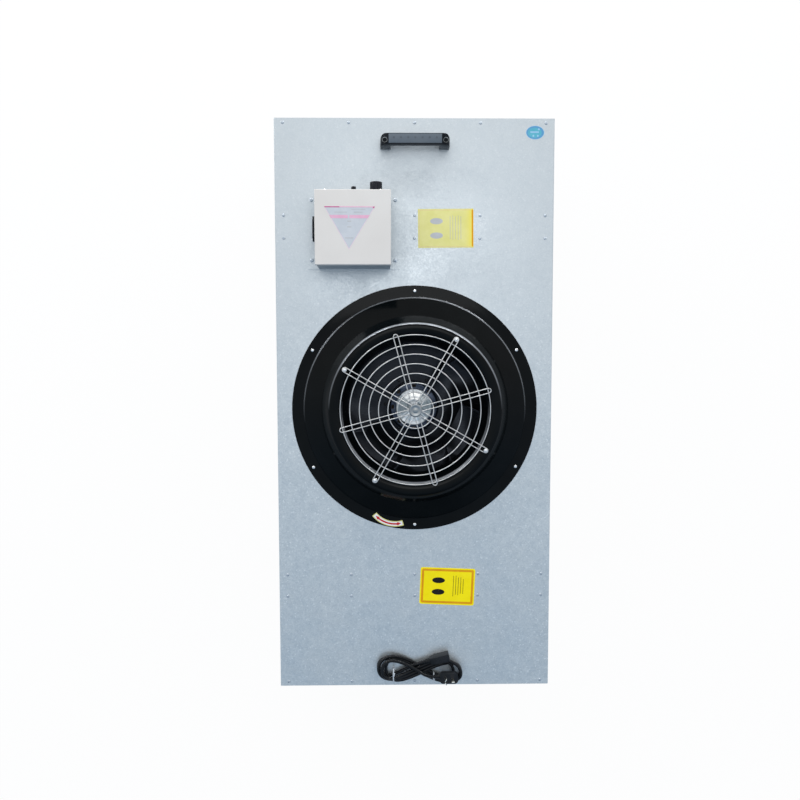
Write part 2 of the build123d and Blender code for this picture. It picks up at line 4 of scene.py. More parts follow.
import bmesh
import bpy
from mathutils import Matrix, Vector

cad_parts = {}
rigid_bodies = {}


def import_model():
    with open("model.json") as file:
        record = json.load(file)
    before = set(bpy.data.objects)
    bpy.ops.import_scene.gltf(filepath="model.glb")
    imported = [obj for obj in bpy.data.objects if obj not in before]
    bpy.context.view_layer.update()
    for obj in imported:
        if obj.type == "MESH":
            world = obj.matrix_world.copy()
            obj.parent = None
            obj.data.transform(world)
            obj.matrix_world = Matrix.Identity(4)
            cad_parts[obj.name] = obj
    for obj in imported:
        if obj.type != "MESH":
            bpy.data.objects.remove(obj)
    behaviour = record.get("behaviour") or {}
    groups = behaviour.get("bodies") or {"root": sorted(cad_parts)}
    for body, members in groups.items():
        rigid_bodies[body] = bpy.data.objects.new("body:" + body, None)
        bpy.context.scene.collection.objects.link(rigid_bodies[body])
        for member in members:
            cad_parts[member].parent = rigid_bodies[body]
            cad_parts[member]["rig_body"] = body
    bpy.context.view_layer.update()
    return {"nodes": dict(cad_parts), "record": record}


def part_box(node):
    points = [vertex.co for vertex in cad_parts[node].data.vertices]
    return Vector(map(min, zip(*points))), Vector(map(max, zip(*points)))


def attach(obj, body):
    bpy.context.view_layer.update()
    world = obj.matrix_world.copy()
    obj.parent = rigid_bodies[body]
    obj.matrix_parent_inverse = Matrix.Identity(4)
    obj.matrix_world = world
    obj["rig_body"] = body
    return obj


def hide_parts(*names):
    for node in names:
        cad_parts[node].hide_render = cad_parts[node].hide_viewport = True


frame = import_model()
scene = bpy.context.scene
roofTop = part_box("roof_rivets")[0].z
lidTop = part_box("control_box_lid")[1].z


# ---- modelling helpers

def clearSelection():
    active = bpy.context.view_layer.objects.active
    if active and active.mode != "OBJECT":
        bpy.ops.object.mode_set(mode="OBJECT")
    bpy.ops.object.select_all(action="DESELECT")


def makeActive(piece):
    clearSelection()
    piece.select_set(True)
    bpy.context.view_layer.objects.active = piece


def named(piece, name):
    piece.name = name
    piece.data.name = name
    return piece


def settle(piece, name=None):
    # place, turn and size go into the mesh, so the object sits at the origin
    makeActive(piece)
    bpy.ops.object.transform_apply(location=True, rotation=True, scale=True)
    return named(piece, name) if name else piece


def blockPiece(name, low, high):
    clearSelection()
    middle = [(a + b) / 2 for a, b in zip(low, high)]
    bpy.ops.mesh.primitive_cube_add(size=1, location=middle)
    piece = bpy.context.object
    piece.scale = [b - a for a, b in zip(low, high)]
    return settle(piece, name)


def discPiece(name, radius, low, high, sides=32, centre=(0, 0)):
    clearSelection()
    bpy.ops.mesh.primitive_cylinder_add(vertices=sides, radius=radius, depth=high - low,
                                        location=(centre[0], centre[1], (low + high) / 2))
    return settle(bpy.context.object, name)


def editing(piece):
    makeActive(piece)
    bpy.ops.object.mode_set(mode="EDIT")


def mergePoints(threshold=1e-6):
    bpy.ops.mesh.select_all(action="SELECT")
    bpy.ops.mesh.remove_doubles(threshold=threshold)


def doneEditing(turnOut=False):
    # back to object mode, with all faces turned outwards if wanted
    if turnOut:
        bpy.ops.mesh.select_all(action="SELECT")
        bpy.ops.mesh.normals_make_consistent(inside=False)
    bpy.ops.object.mode_set(mode="OBJECT")


def pushFaces(x=0, y=0, z=0):
    bpy.ops.mesh.extrude_region_move(TRANSFORM_OT_translate={"value": (x, y, z)})


def pickFaces(test):
    # selects the faces whose middle and normal pass the test
    mesh = bpy.context.object.data
    shape = bmesh.from_edit_mesh(mesh)
    bpy.ops.mesh.select_mode(type="FACE")
    for face in shape.faces:
        face.select_set(bool(test(face.calc_center_median(), face.normal)))
    shape.select_flush_mode()
    bmesh.update_edit_mesh(mesh)


def pickEdges(test):
    # selects the edges whose two ends pass the test
    mesh = bpy.context.object.data
    shape = bmesh.from_edit_mesh(mesh)
    bpy.ops.mesh.select_mode(type="EDGE")
    for edge in shape.edges:
        edge.select_set(bool(test(edge.verts[0].co, edge.verts[1].co)))
    bmesh.update_edit_mesh(mesh)


def pathPiece(name, points):
    # one point, extruded along the list
    clearSelection()
    bpy.ops.mesh.primitive_plane_add(size=0.01)
    piece = bpy.context.object
    bpy.ops.object.mode_set(mode="EDIT")
    bpy.ops.mesh.select_mode(type="VERT")
    bpy.ops.mesh.select_all(action="SELECT")
    bpy.ops.mesh.merge(type="CENTER")
    bpy.ops.transform.translate(value=points[0])
    for start, end in zip(points, points[1:]):
        step = [b - a for a, b in zip(start, end)]
        bpy.ops.mesh.extrude_vertices_move(TRANSFORM_OT_translate={"value": step})
    doneEditing()
    return named(piece, name)


def turnedPiece(name, profile, steps=48):
    # a (radius, height) profile spun about Z
    piece = pathPiece(name, [(r, 0, z) for r, z in profile])
    editing(piece)
    bpy.ops.mesh.select_all(action="SELECT")
    bpy.ops.mesh.spin(steps=steps, angle=2 * pi, center=(0, 0, 0), axis=(0, 0, 1))
    mergePoints()
    doneEditing(turnOut=True)
    return piece


def wirePiece(name, points, thickness, closed=False, sides=2):
    # a round wire along the points
    piece = pathPiece(name, points)
    if closed:
        editing(piece)
        mergePoints()
        doneEditing()
    makeActive(piece)
    bpy.ops.object.convert(target="CURVE")
    piece = bpy.context.object
    piece.data.bevel_depth = thickness / 2
    piece.data.bevel_resolution = sides
    piece.data.use_fill_caps = not closed
    bpy.ops.object.convert(target="MESH")
    piece = bpy.context.object
    piece.name = name
    return settle(piece, name)


def applied(piece, kind, **values):
    # adds a modifier and applies it
    makeActive(piece)
    modifier = piece.modifiers.new(kind.lower(), kind)
    for key, value in values.items():
        setattr(modifier, key, value)
    bpy.ops.object.modifier_apply(modifier=modifier.name)
    return piece


def cutWith(piece, tool, operation="DIFFERENCE"):
    applied(piece, "BOOLEAN", object=tool, operation=operation, solver="EXACT")
    bpy.data.objects.remove(tool)


def rounded(piece, width, segments=2, angle=30):
    return applied(piece, "BEVEL", width=width, segments=segments, limit_method="ANGLE",
                   angle_limit=radians(angle))


def smooth(piece, angle=35):
    makeActive(piece)
    bpy.ops.object.shade_smooth_by_angle(angle=radians(angle))
    return piece


def platePiece(name, outline, low, high):
    # a flat shape with this outline, between two heights
    ends = outline + outline[:1]
    piece = pathPiece(name, [(x, y, low) for x, y in ends])
    editing(piece)
    mergePoints()
    bpy.ops.mesh.select_all(action="SELECT")
    bpy.ops.mesh.edge_face_add()
    pushFaces(z=high - low)
    doneEditing(turnOut=True)
    return piece


def joined(name, pieces):
    clearSelection()
    for piece in pieces:
        piece.select_set(True)
    bpy.context.view_layer.objects.active = pieces[0]
    if len(pieces) > 1:
        bpy.ops.object.join()
    return settle(bpy.context.object, name)


def placed(piece, place, turn=(0, 0, 0)):
    # turns a piece made at the origin, then moves it
    piece.rotation_euler = turn
    piece.location = place
    return settle(piece)


def copyOf(piece):
    # a copy with a mesh of its own
    twin = piece.copy()
    twin.data = piece.data.copy()
    scene.collection.objects.link(twin)
    return twin


def copies(name, piece, places):
    # one copy at each (x, y, z, turn about Z), then all joined
    made = [placed(copyOf(piece), (x, y, z), (0, 0, turn)) for x, y, z, turn in places]
    bpy.data.objects.remove(piece)
    return joined(name, made)


def onCircle(radius, count, firstAngle, z):
    angles = [radians(firstAngle + 360 * n / count) for n in range(count)]
    return [(radius * cos(a), radius * sin(a), z, a) for a in angles]


def softened(node, width=0.0006, segments=2, angle=32, smoothAngle=40):
    # a merged copy of a CAD node with its sharp edges rounded
    twin = copyOf(frame["nodes"][node])
    twin.parent = None
    for key in list(twin.keys()):
        del twin[key]
    twin.data.materials.clear()
    editing(twin)
    mergePoints(2e-5)
    bpy.ops.mesh.dissolve_limited(angle_limit=radians(1.5))
    doneEditing()
    first, *others = node.split("_")
    named(twin, first + "".join(word.capitalize() for word in others))
    if width:
        rounded(twin, width, segments, angle)
    return smooth(twin, smoothAngle)


def fit(piece, slot, body="housing", nodes=(), material=None):
    # the piece takes the finish of its slot, rides on its body and stands for its CAD nodes
    piece.data.materials.clear()
    piece.data.materials.append(material or finishes[slot])
    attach(piece, body)
    if nodes:
        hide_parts(*nodes)
    return piece


def bodyOf(node):
    return frame["nodes"][node]["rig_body"]


def slotOf(node):
    return next(row["material_slot"] for row in frame["record"]["subparts"] if row["node"] == node)


# ---- camera, floor, light

cameraView = {"place": (-0.0529, 0.1158, 1.8039), "turn": (-3.76, -0.87, -0.08), "lens": 32.24}
studio = {"floorSize": 9.0, "floor": (0.86, 0.87, 0.88), "floorGlow": 0.94,
          "bright": (1.0, 1.0, 1.0), "dim": (0.46, 0.60, 0.77), "far": (0.13, 0.17, 0.22),
          # along Y, where the room turns from dim to bright and from far to dim
          "turnBright": (-0.42, 0.3), "turnDim": (-0.95, -0.5),
          "barAngles": (62, 98, 134), "barReach": 3.1, "barHeight": 1.35, "barSize": (1.9, 0.11),
          "barWatts": 21, "softPlace": (0.03, 0.5, 1.85), "softSize": 0.6, "softWatts": 2.3}


def addLamp(place, watts, size, depth=None):
    # a square lamp that faces down, or a long one where it is given a depth
    clearSelection()
    bpy.ops.object.light_add(type="AREA", location=place)
    lamp = bpy.context.object
    lamp.data.energy = watts
    lamp.data.size = size
    if depth:
        lamp.data.shape = "RECTANGLE"
        lamp.data.size_y = depth
    return lamp


def aimed(lamp, target=(0, 0, 0.3)):
    away = Vector(lamp.location) - Vector(target)
    lamp.rotation_euler = away.to_track_quat("Z", "Y").to_euler()


def setStudio():
    scene.view_settings.view_transform = "Standard"
    clearSelection()
    bpy.ops.object.camera_add(location=cameraView["place"],
                              rotation=[radians(v) for v in cameraView["turn"]])
    camera = bpy.context.object
    camera.data.lens = cameraView["lens"]
    camera.data.sensor_width = 36
    scene.camera = camera

    clearSelection()
    bpy.ops.mesh.primitive_plane_add(size=studio["floorSize"])
    floor = settle(bpy.context.object, "floor")
    material, tree, shader = newMaterial("paleFloor")
    shader.inputs["Base Color"].default_value = (*studio["floor"], 1)
    shader.inputs["Roughness"].default_value = 0.9
    seen = put(tree, "LightPath").outputs["Is Camera Ray"]
    glow = put(tree, "Emission", {"Color": (1, 1, 1, 1), "Strength": 1.0})
    blend = put(tree, "MixShader", {0: sums(tree, seen, studio["floorGlow"]),
                                    1: shader.outputs[0], 2: glow.outputs[0]})
    tree.links.new(blend.outputs[0], tree.nodes["Material Output"].inputs["Surface"])
    floor.data.materials.append(material)

    # the room is bright on the handle's side, cooler above the cord and dim beyond it
    world = bpy.data.worlds.new("studioRoom")
    scene.world = world
    world.use_nodes = True
    tree = world.node_tree
    room = tree.nodes["Background"]
    view = put(tree, "TexCoord")
    along = put(tree, "SeparateXYZ", {0: view.outputs["Generated"]}).outputs["Y"]
    near = mixed(tree, ranged(tree, along, 0, 1, *studio["turnBright"]), studio["dim"],
                 studio["bright"])
    tint = mixed(tree, ranged(tree, along, 0, 1, *studio["turnDim"]), studio["far"], near)
    tree.links.new(tint, room.inputs["Color"])
    plain = put(tree, "Background", {"Color": (1, 1, 1, 1), "Strength": 1.0})
    path = put(tree, "LightPath")
    blend = put(tree, "MixShader", {0: path.outputs["Is Camera Ray"], 1: room.outputs[0],
                                    2: plain.outputs[0]})
    tree.links.new(blend.outputs[0], tree.nodes["World Output"].inputs["Surface"])

    # long narrow lamps in an arc, for thin bright lines on the black ring
    for angle in studio["barAngles"]:
        reach = studio["barReach"]
        place = (reach * cos(radians(angle)), reach * sin(radians(angle)), studio["barHeight"])
        aimed(addLamp(place, studio["barWatts"], *studio["barSize"]))

    # a faint square lamp straight above the control box's end of the roof
    addLamp(studio["softPlace"], studio["softWatts"], studio["softSize"])


# ---- material helpers

def put(tree, kind, inputs=None, **settings):
    # a node with its settings; an input is a value or another node's output
    node = tree.nodes.new("ShaderNode" + kind)
    for key, value in settings.items():
        setattr(node, key, value)
    for key, value in (inputs or {}).items():
        if hasattr(value, "is_output"):
            tree.links.new(value, node.inputs[key])
        else:
            node.inputs[key].default_value = value
    return node


def asColour(value):
    return value if hasattr(value, "is_output") or len(value) == 4 else (*value, 1)


def mixed(tree, share, first, second, way="MIX"):
    node = put(tree, "Mix", {0: share, 6: asColour(first), 7: asColour(second)},
               data_type="RGBA", blend_type=way)
    return node.outputs[2]


def sums(tree, first, second, operation="MULTIPLY"):
    return put(tree, "Math", {0: first, 1: second}, operation=operation).outputs[0]


def ranged(tree, value, low, high, fromLow=0.0, fromHigh=1.0):
    node = put(tree, "MapRange", {"Value": value, "From Min": fromLow, "From Max": fromHigh,
                                  "To Min": low, "To Max": high})
    return node.outputs[0]


def newMaterial(name):
    material = bpy.data.materials.new(name)
    material.use_nodes = True
    tree = material.node_tree
    return material, tree, tree.nodes["Principled BSDF"]


def objectPlace(tree):
    return put(tree, "TexCoord").outputs["Object"]


def noiseOf(tree, place, scale, detail=2.0, rough=0.5):
    return put(tree, "TexNoise", {"Vector": place, "Scale": scale, "Detail": detail,
                                  "Roughness": rough}).outputs[0]


def fromAxis(tree, place, way):
    # the part of a place that runs out from the Z axis: its LENGTH, or its direction
    axes = put(tree, "SeparateXYZ", {0: place})
    flat = put(tree, "CombineXYZ", {0: axes.outputs[0], 1: axes.outputs[1]})
    return put(tree, "VectorMath", {0: flat.outputs[0]}, operation=way)


def addBump(tree, shader, height, strength, distance):
    bump = put(tree, "Bump", {"Strength": strength, "Distance": distance, "Height": height})
    tree.links.new(bump.outputs[0], shader.inputs["Normal"])


def newGroup(name, inputs, output):
    tree = bpy.data.node_groups.new(name, "ShaderNodeTree")
    for label, value in inputs.items():
        socket = tree.interface.new_socket(label, in_out="INPUT", socket_type="NodeSocketFloat")
        socket.default_value = value
    tree.interface.new_socket(output, in_out="OUTPUT", socket_type="NodeSocketFloat")
    given, result = tree.nodes.new("NodeGroupInput"), tree.nodes.new("NodeGroupOutput")
    return tree, given, result, objectPlace(tree)


def used(tree, name, inputs):
    node = tree.nodes.new("ShaderNodeGroup")
    node.node_tree = bpy.data.node_groups[name]
    for key, value in inputs.items():
        node.inputs[key].default_value = value
    return node


def buildGroups():
    # fine moulded or sprayed grain
    tree, given, result, place = newGroup("fineGrain", {"Scale": 900.0}, "Height")
    noise = noiseOf(tree, place, given.outputs["Scale"], 3.0, 0.6)
    tree.links.new(noise, result.inputs["Height"])

    # broad soft patches
    tree, given, result, place = newGroup("softPatches", {"Scale": 12.0}, "Mask")
    noise = noiseOf(tree, place, given.outputs["Scale"], 4.0, 0.55)
    tree.links.new(ranged(tree, noise, 0, 1, 0.34, 0.66), result.inputs["Mask"])

    # short fine scratches, in two directions
    tree, given, result, place = newGroup("hairScuffs", {"Scale": 60.0, "Amount": 0.3}, "Mask")
    lines = []
    for turn, squeeze in ((0.5, 14.0), (2.0, 18.0)):
        turned = put(tree, "Mapping", {"Vector": place, "Rotation": (0.3, 0.2, turn),
                                       "Scale": (1.0, squeeze, 2.0)})
        noise = noiseOf(tree, turned.outputs[0], given.outputs["Scale"])
        lines.append(ranged(tree, noise, 0, 1, 0.66, 0.74))
    both = sums(tree, lines[0], lines[1], "MAXIMUM")
    tree.links.new(sums(tree, both, given.outputs["Amount"]), result.inputs["Mask"])

    # settled dust, thicker in patches
    tree, given, result, place = newGroup("thinDust", {"Scale": 30.0, "Amount": 0.2}, "Mask")
    patch = ranged(tree, noiseOf(tree, place, given.outputs["Scale"], 5.0), 0, 1, 0.45, 0.75)
    speck = ranged(tree, noiseOf(tree, place, 1400.0, 1.0), 0.3, 1, 0.4, 0.7)
    tree.links.new(sums(tree, sums(tree, patch, speck), given.outputs["Amount"]),
                   result.inputs["Mask"])

    # rings left by turning on a lathe, round the Z axis
    tree, given, result, place = newGroup("turnedRings", {"Scale": 900.0}, "Height")
    reach = fromAxis(tree, place, "LENGTH").outputs["Value"]
    steps = put(tree, "TexNoise", {"W": sums(tree, reach, given.outputs["Scale"]), "Scale": 1.0,
                                   "Detail": 3.0}, noise_dimensions="1D")
    tree.links.new(steps.outputs[0], result.inputs["Height"])

    # a soft band at one distance from the Z axis
    tree, given, result, place = newGroup("roundBand", {"Radius": 0.2, "Width": 0.002}, "Mask")
    reach = fromAxis(tree, place, "LENGTH").outputs["Value"]
    away = sums(tree, reach, given.outputs["Radius"], "SUBTRACT")
    away = put(tree, "Math", {0: away}, operation="ABSOLUTE").outputs[0]
    share = sums(tree, away, given.outputs["Width"], "DIVIDE")
    tree.links.new(ranged(tree, share, 1, 0, 0.3, 1.0), result.inputs["Mask"])

    # painted reflection: bright streaks that run out from the Z axis, as turned metal reflects the
    # light
    tree, given, result, place = newGroup("wedges", {"Scale": 3.0}, "Mask")
    ray = fromAxis(tree, place, "NORMALIZE").outputs[0]
    broad = noiseOf(tree, ray, given.outputs["Scale"], 4.0, 0.65)
    # painted highlight, brightest towards +Y and -Y
    height = put(tree, "SeparateXYZ", {0: ray}).outputs[1]
    facing = sums(tree, sums(tree, height, height), 1.15)
    streak = ranged(tree, broad, -1.0, 0.55, 0.3, 0.7)
    tree.links.new(ranged(tree, sums(tree, facing, streak, "ADD"), 0, 1), result.inputs["Mask"])


def newFinish(name, look):
    # the common base of the coated, moulded and plated finishes
    material, tree, shader = newMaterial(name)
    patches = used(tree, "softPatches", {"Scale": look.get("patch", 14.0)})
    scuffs = used(tree, "hairScuffs", {"Scale": look.get("scuffScale", 60.0),
                                       "Amount": look.get("scuffs", 0.25)})
    grain = used(tree, "fineGrain", {"Scale": look.get("grain", 900.0)})
    dust = used(tree, "thinDust", {"Scale": look.get("dustScale", 25.0),
                                   "Amount": look.get("dust", 0.12)})
    base = mixed(tree, patches.outputs[0], look["colour"], look["shade"])
    worn = mixed(tree, scuffs.outputs[0], base, look.get("worn", look["colour"]))
    dusty = mixed(tree, dust.outputs[0], worn, look.get("dustColour", (0.42, 0.42, 0.41)))
    tree.links.new(dusty, shader.inputs["Base Color"])
    low, high = look["rough"]
    rough = ranged(tree, patches.outputs[0], low, high)
    rougher = sums(tree, rough, sums(tree, scuffs.outputs[0], 0.25), "ADD")
    tree.links.new(sums(tree, rougher, sums(tree, dust.outputs[0], 0.4), "ADD"),
                   shader.inputs["Roughness"])
    shader.inputs["Metallic"].default_value = look.get("metal", 0.0)
    shader.inputs["IOR"].default_value = look.get("ior", 1.5)
    addBump(tree, shader, grain.outputs[0], look.get("relief", 0.3), look.get("depth", 0.0002))
    return material


def ringFinish():
    # black lacquer, with painted highlight lines along its bead, shoulder and inner lip, each on the
    # side where the light falls
    # (radius, width, amount, and the two heights along Y between which it fades in)
    bands = {"bead": (0.2291, 0.0017, 0.40, -0.03, 0.16),
             "shoulder": (0.1752, 0.0022, 0.50, 0.0, 0.13),
             "lip": (0.1494, 0.0018, 0.55, 0.02, -0.12)}
    material = newFinish("ringBlack", coatLooks["ring_black"])
    tree = material.node_tree
    shader = tree.nodes["Principled BSDF"]
    axes = put(tree, "SeparateXYZ", {0: objectPlace(tree)})
    paintedHighlight = None
    for radius, width, amount, none, full in bands.values():
        band = used(tree, "roundBand", {"Radius": radius, "Width": width})
        share = sums(tree, band.outputs[0], ranged(tree, axes.outputs[1], 0, amount, none, full))
        paintedHighlight = share if paintedHighlight is None else sums(tree, paintedHighlight, share, "MAXIMUM")
    patches = used(tree, "softPatches", {"Scale": 11.0})
    paintedHighlight = sums(tree, paintedHighlight, ranged(tree, patches.outputs[0], 0.45, 1.0))
    lacquer = shader.inputs["Base Color"].links[0].from_socket
    # painted highlight: the lacquer turns pale blue-white and metallic along the bands
    tree.links.new(mixed(tree, paintedHighlight, lacquer, (0.85, 0.9, 0.97)), shader.inputs["Base Color"])
    tree.links.new(paintedHighlight, shader.inputs["Metallic"])
    return material


def galvanisedFinish():
    # zinc coating: a mosaic of small crystals, each with its own shade and gloss
    look = {"cell": 420.0, "light": (0.64, 0.68, 0.695), "dark": (0.475, 0.53, 0.565),
            "speck": (0.73, 0.765, 0.78), "plain": (0.50, 0.54, 0.565), "rough": (0.40, 0.54),
            "metal": 0.82}
    material, tree, shader = newMaterial("galvanisedSheet")
    place = objectPlace(tree)
    wander = put(tree, "TexNoise", {"Vector": place, "Scale": 160.0, "Detail": 2.0})
    shift = put(tree, "VectorMath", {0: wander.outputs["Color"], "Scale": 0.004}, operation="SCALE")
    moved = put(tree, "VectorMath", {0: place, 1: shift.outputs[0]}, operation="ADD")
    cells = put(tree, "TexVoronoi", {"Vector": moved.outputs[0], "Scale": look["cell"],
                                     "Randomness": 1.0})
    tone = put(tree, "SeparateColor", {0: cells.outputs["Color"]})
    patches = used(tree, "softPatches", {"Scale": 9.0})
    blotch = used(tree, "softPatches", {"Scale": 70.0})
    scuffs = used(tree, "hairScuffs", {"Scale": 18.0, "Amount": 0.16})
    shade = ranged(tree, tone.outputs[0], 0.22, 0.78)
    shade = sums(tree, shade, ranged(tree, patches.outputs[0], -0.06, 0.06), "ADD")
    shade = sums(tree, shade, ranged(tree, blotch.outputs[0], -0.16, 0.16), "ADD")
    base = mixed(tree, shade, look["dark"], look["light"])
    bright = ranged(tree, tone.outputs[1], 0, 0.8, 0.93, 0.99)
    base = mixed(tree, bright, base, look["speck"])
    base = mixed(tree, scuffs.outputs[0], base, look["speck"])
    # the mosaic is fainter towards the control box's end
    end = put(tree, "SeparateXYZ", {0: place}).outputs[1]
    base = mixed(tree, ranged(tree, end, 0, 0.68, -0.05, 0.32), base, look["plain"])
    tree.links.new(base, shader.inputs["Base Color"])
    rough = ranged(tree, tone.outputs[2], *look["rough"])
    tree.links.new(sums(tree, rough, ranged(tree, patches.outputs[0], -0.05, 0.05), "ADD"),
                   shader.inputs["Roughness"])
    shader.inputs["Metallic"].default_value = look["metal"]
    addBump(tree, shader, tone.outputs[0], 0.12, 0.0004)
    return material


def turnedFinish(name, look):
    # bright metal faced on a lathe, its reflection painted into the colour as bright wedges
    material, tree, shader = newMaterial(name)
    rings = used(tree, "turnedRings", {"Scale": look["rings"]})
    wedges = used(tree, "wedges", {"Scale": look["wedges"]})
    base = mixed(tree, rings.outputs[0], look["colour"], look["shade"])
    # painted reflection: the colour turns bright in the wedges
    base = mixed(tree, wedges.outputs[0], base, look["bright"])
    tree.links.new(base, shader.inputs["Base Color"])
    tree.links.new(ranged(tree, wedges.outputs[0], *look["rough"]), shader.inputs["Roughness"])
    shader.inputs["Metallic"].default_value = 1.0
    shader.inputs["Anisotropic"].default_value = look["pull"]
    tangent = put(tree, "Tangent", direction_type="RADIAL", axis="Z")
    tree.links.new(tangent.outputs[0], shader.inputs["Tangent"])
    addBump(tree, shader, rings.outputs[0], look["relief"], 0.0001)
    return material


coatLooks = {
    "rivet_metal": {"colour": (0.42, 0.47, 0.52), "shade": (0.52, 0.57, 0.62), "metal": 0.9,
                    "rough": (0.4, 0.52), "grain": 1500.0, "relief": 0.15, "dust": 0.1},
    "ring_black": {"colour": (0.0012, 0.0020, 0.0024), "shade": (0.0020, 0.0030, 0.0035),
                   "rough": (0.08, 0.17), "grain": 260.0, "relief": 0.03, "depth": 0.0006,
                   "ior": 1.19, "scuffs": 0.04, "worn": (0.03, 0.035, 0.04), "dust": 0.006,
                   "patch": 7.0, "dustColour": (0.3, 0.32, 0.35)},
    "screw_zinc": {"colour": (0.72, 0.74, 0.75), "shade": (0.82, 0.83, 0.84), "metal": 1.0,
                   "rough": (0.2, 0.34), "grain": 2200.0, "relief": 0.15, "patch": 120.0},
    "guard_chrome": {"colour": (0.52, 0.52, 0.52), "shade": (0.64, 0.64, 0.63), "metal": 1.0,
                     "rough": (0.28, 0.4), "grain": 1200.0, "relief": 0.1, "patch": 60.0,
                     "scuffs": 0.1, "worn": (0.5, 0.5, 0.5), "dust": 0.05},
    "motor_dark": {"colour": (0.006, 0.007, 0.010), "shade": (0.011, 0.013, 0.018),
                   "rough": (0.16, 0.3), "grain": 420.0, "relief": 0.25, "dust": 0.03,
                   "ior": 1.4, "worn": (0.08, 0.09, 0.11)},
    "lamination": {"colour": (0.13, 0.10, 0.07), "shade": (0.2, 0.15, 0.1), "metal": 0.4,
                   "rough": (0.35, 0.55), "grain": 1800.0, "relief": 0.5},
    "impeller_metal": {"colour": (0.014, 0.017, 0.022), "shade": (0.026, 0.030, 0.038),
                       "metal": 0.7, "rough": (0.28, 0.42), "grain": 300.0, "relief": 0.2,
                       "dust": 0.02, "worn": (0.12, 0.13, 0.15), "ior": 1.3},
    "cable_black": {"colour": (0.0035, 0.0045, 0.006), "shade": (0.007, 0.0085, 0.011),
                    "rough": (0.10, 0.17), "grain": 700.0, "relief": 0.08, "dust": 0.015,
                    "scuffs": 0.08, "worn": (0.04, 0.05, 0.06), "ior": 1.27},
    "rubber_black": {"colour": (0.006, 0.0075, 0.010), "shade": (0.012, 0.0145, 0.019),
                     "rough": (0.22, 0.36), "grain": 1300.0, "relief": 0.3, "dust": 0.03,
                     "scuffs": 0.15, "worn": (0.06, 0.07, 0.08), "ior": 1.24},
    "box_cream": {"colour": (0.62, 0.59, 0.56), "shade": (0.665, 0.64, 0.61),
                  "rough": (0.42, 0.55), "grain": 950.0, "relief": 0.28, "depth": 0.0003,
                  "patch": 7.0, "dust": 0.05, "scuffs": 0.08, "worn": (0.5, 0.5, 0.48)},
    "plastic_black": {"colour": (0.0035, 0.005, 0.008), "shade": (0.007, 0.009, 0.013),
                      "rough": (0.16, 0.28), "grain": 1100.0, "relief": 0.2, "dust": 0.04,
                      "worn": (0.08, 0.08, 0.09), "ior": 1.28},
    "pin_brass": {"colour": (0.80, 0.78, 0.70), "shade": (0.88, 0.87, 0.82), "metal": 1.0,
                  "rough": (0.16, 0.28), "grain": 1600.0, "relief": 0.12, "dust": 0.03},
    "capacitor_white": {"colour": (0.74, 0.74, 0.71), "shade": (0.8, 0.8, 0.78),
                        "rough": (0.3, 0.4), "grain": 900.0, "relief": 0.2},
    "terminal_grey": {"colour": (0.5, 0.52, 0.5), "shade": (0.58, 0.6, 0.58),
                      "rough": (0.4, 0.5), "grain": 900.0, "relief": 0.2},
    "handle_black": {"colour": (0.003, 0.005, 0.008), "shade": (0.006, 0.009, 0.013),
                     "rough": (0.2, 0.32), "grain": 1000.0, "relief": 0.25, "dust": 0.03,
                     "scuffs": 0.1, "worn": (0.06, 0.07, 0.08), "ior": 1.18},
    "frame_aluminium": {"colour": (0.66, 0.69, 0.71), "shade": (0.74, 0.77, 0.79), "metal": 0.95,
                        "rough": (0.3, 0.42), "grain": 500.0, "relief": 0.15, "scuffScale": 22.0,
                        "scuffs": 0.3, "worn": (0.85, 0.87, 0.88)},
    "media_white": {"colour": (0.80, 0.80, 0.77), "shade": (0.88, 0.88, 0.86),
                    "rough": (0.85, 0.95), "grain": 500.0, "relief": 0.7, "depth": 0.0005,
                    "dust": 0.05, "scuffs": 0.0},
    "guard_white": {"colour": (0.76, 0.77, 0.77), "shade": (0.82, 0.83, 0.83),
                    "rough": (0.36, 0.46), "grain": 950.0, "relief": 0.25},
    "gasket_black": {"colour": (0.025, 0.026, 0.028), "shade": (0.05, 0.05, 0.054),
                     "rough": (0.85, 0.95), "grain": 650.0, "relief": 1.0, "depth": 0.0008},
    "tie_white": {"colour": (0.44, 0.49, 0.54), "shade": (0.52, 0.57, 0.62),
                  "rough": (0.35, 0.45), "grain": 900.0, "relief": 0.2},
    "pitSteel": {"colour": (0.24, 0.26, 0.27), "shade": (0.34, 0.36, 0.37), "metal": 1.0,
                 "rough": (0.26, 0.38), "grain": 1500.0, "relief": 0.15, "dust": 0.05},
    "rotorBlue": {"colour": (0.030, 0.040, 0.060), "shade": (0.050, 0.062, 0.088), "metal": 0.8,
                  "rough": (0.16, 0.3), "grain": 300.0, "relief": 0.15, "dust": 0.02, "ior": 1.3},
    # painted shade: a dark slate copy of the box cream, for the shaded sides of the box body
    "boxSlate": {"colour": (0.235, 0.275, 0.30), "shade": (0.27, 0.31, 0.335),
                 "rough": (0.42, 0.55), "grain": 950.0, "relief": 0.28, "dust": 0.05},
    # painted sheen: lighter grey for the handle's coarse faces towards the cord
    "footGrey": {"colour": (0.035, 0.045, 0.055), "shade": (0.055, 0.068, 0.08),
                 "rough": (0.5, 0.65), "grain": 700.0, "relief": 0.8, "depth": 0.0004},
    # painted sheen: the grip's matte top in grey-blue
    "gripGrey": {"colour": (0.064, 0.086, 0.110), "shade": (0.082, 0.106, 0.132),
                 "rough": (0.42, 0.55), "grain": 800.0, "relief": 0.3, "dust": 0.08,
                 "scuffs": 0.12, "worn": (0.2, 0.22, 0.25)},
    # painted shade of the grip's dimples
    "gripDark": {"colour": (0.042, 0.056, 0.073), "shade": (0.052, 0.068, 0.086),
                 "rough": (0.42, 0.55), "grain": 800.0, "relief": 0.3},
}

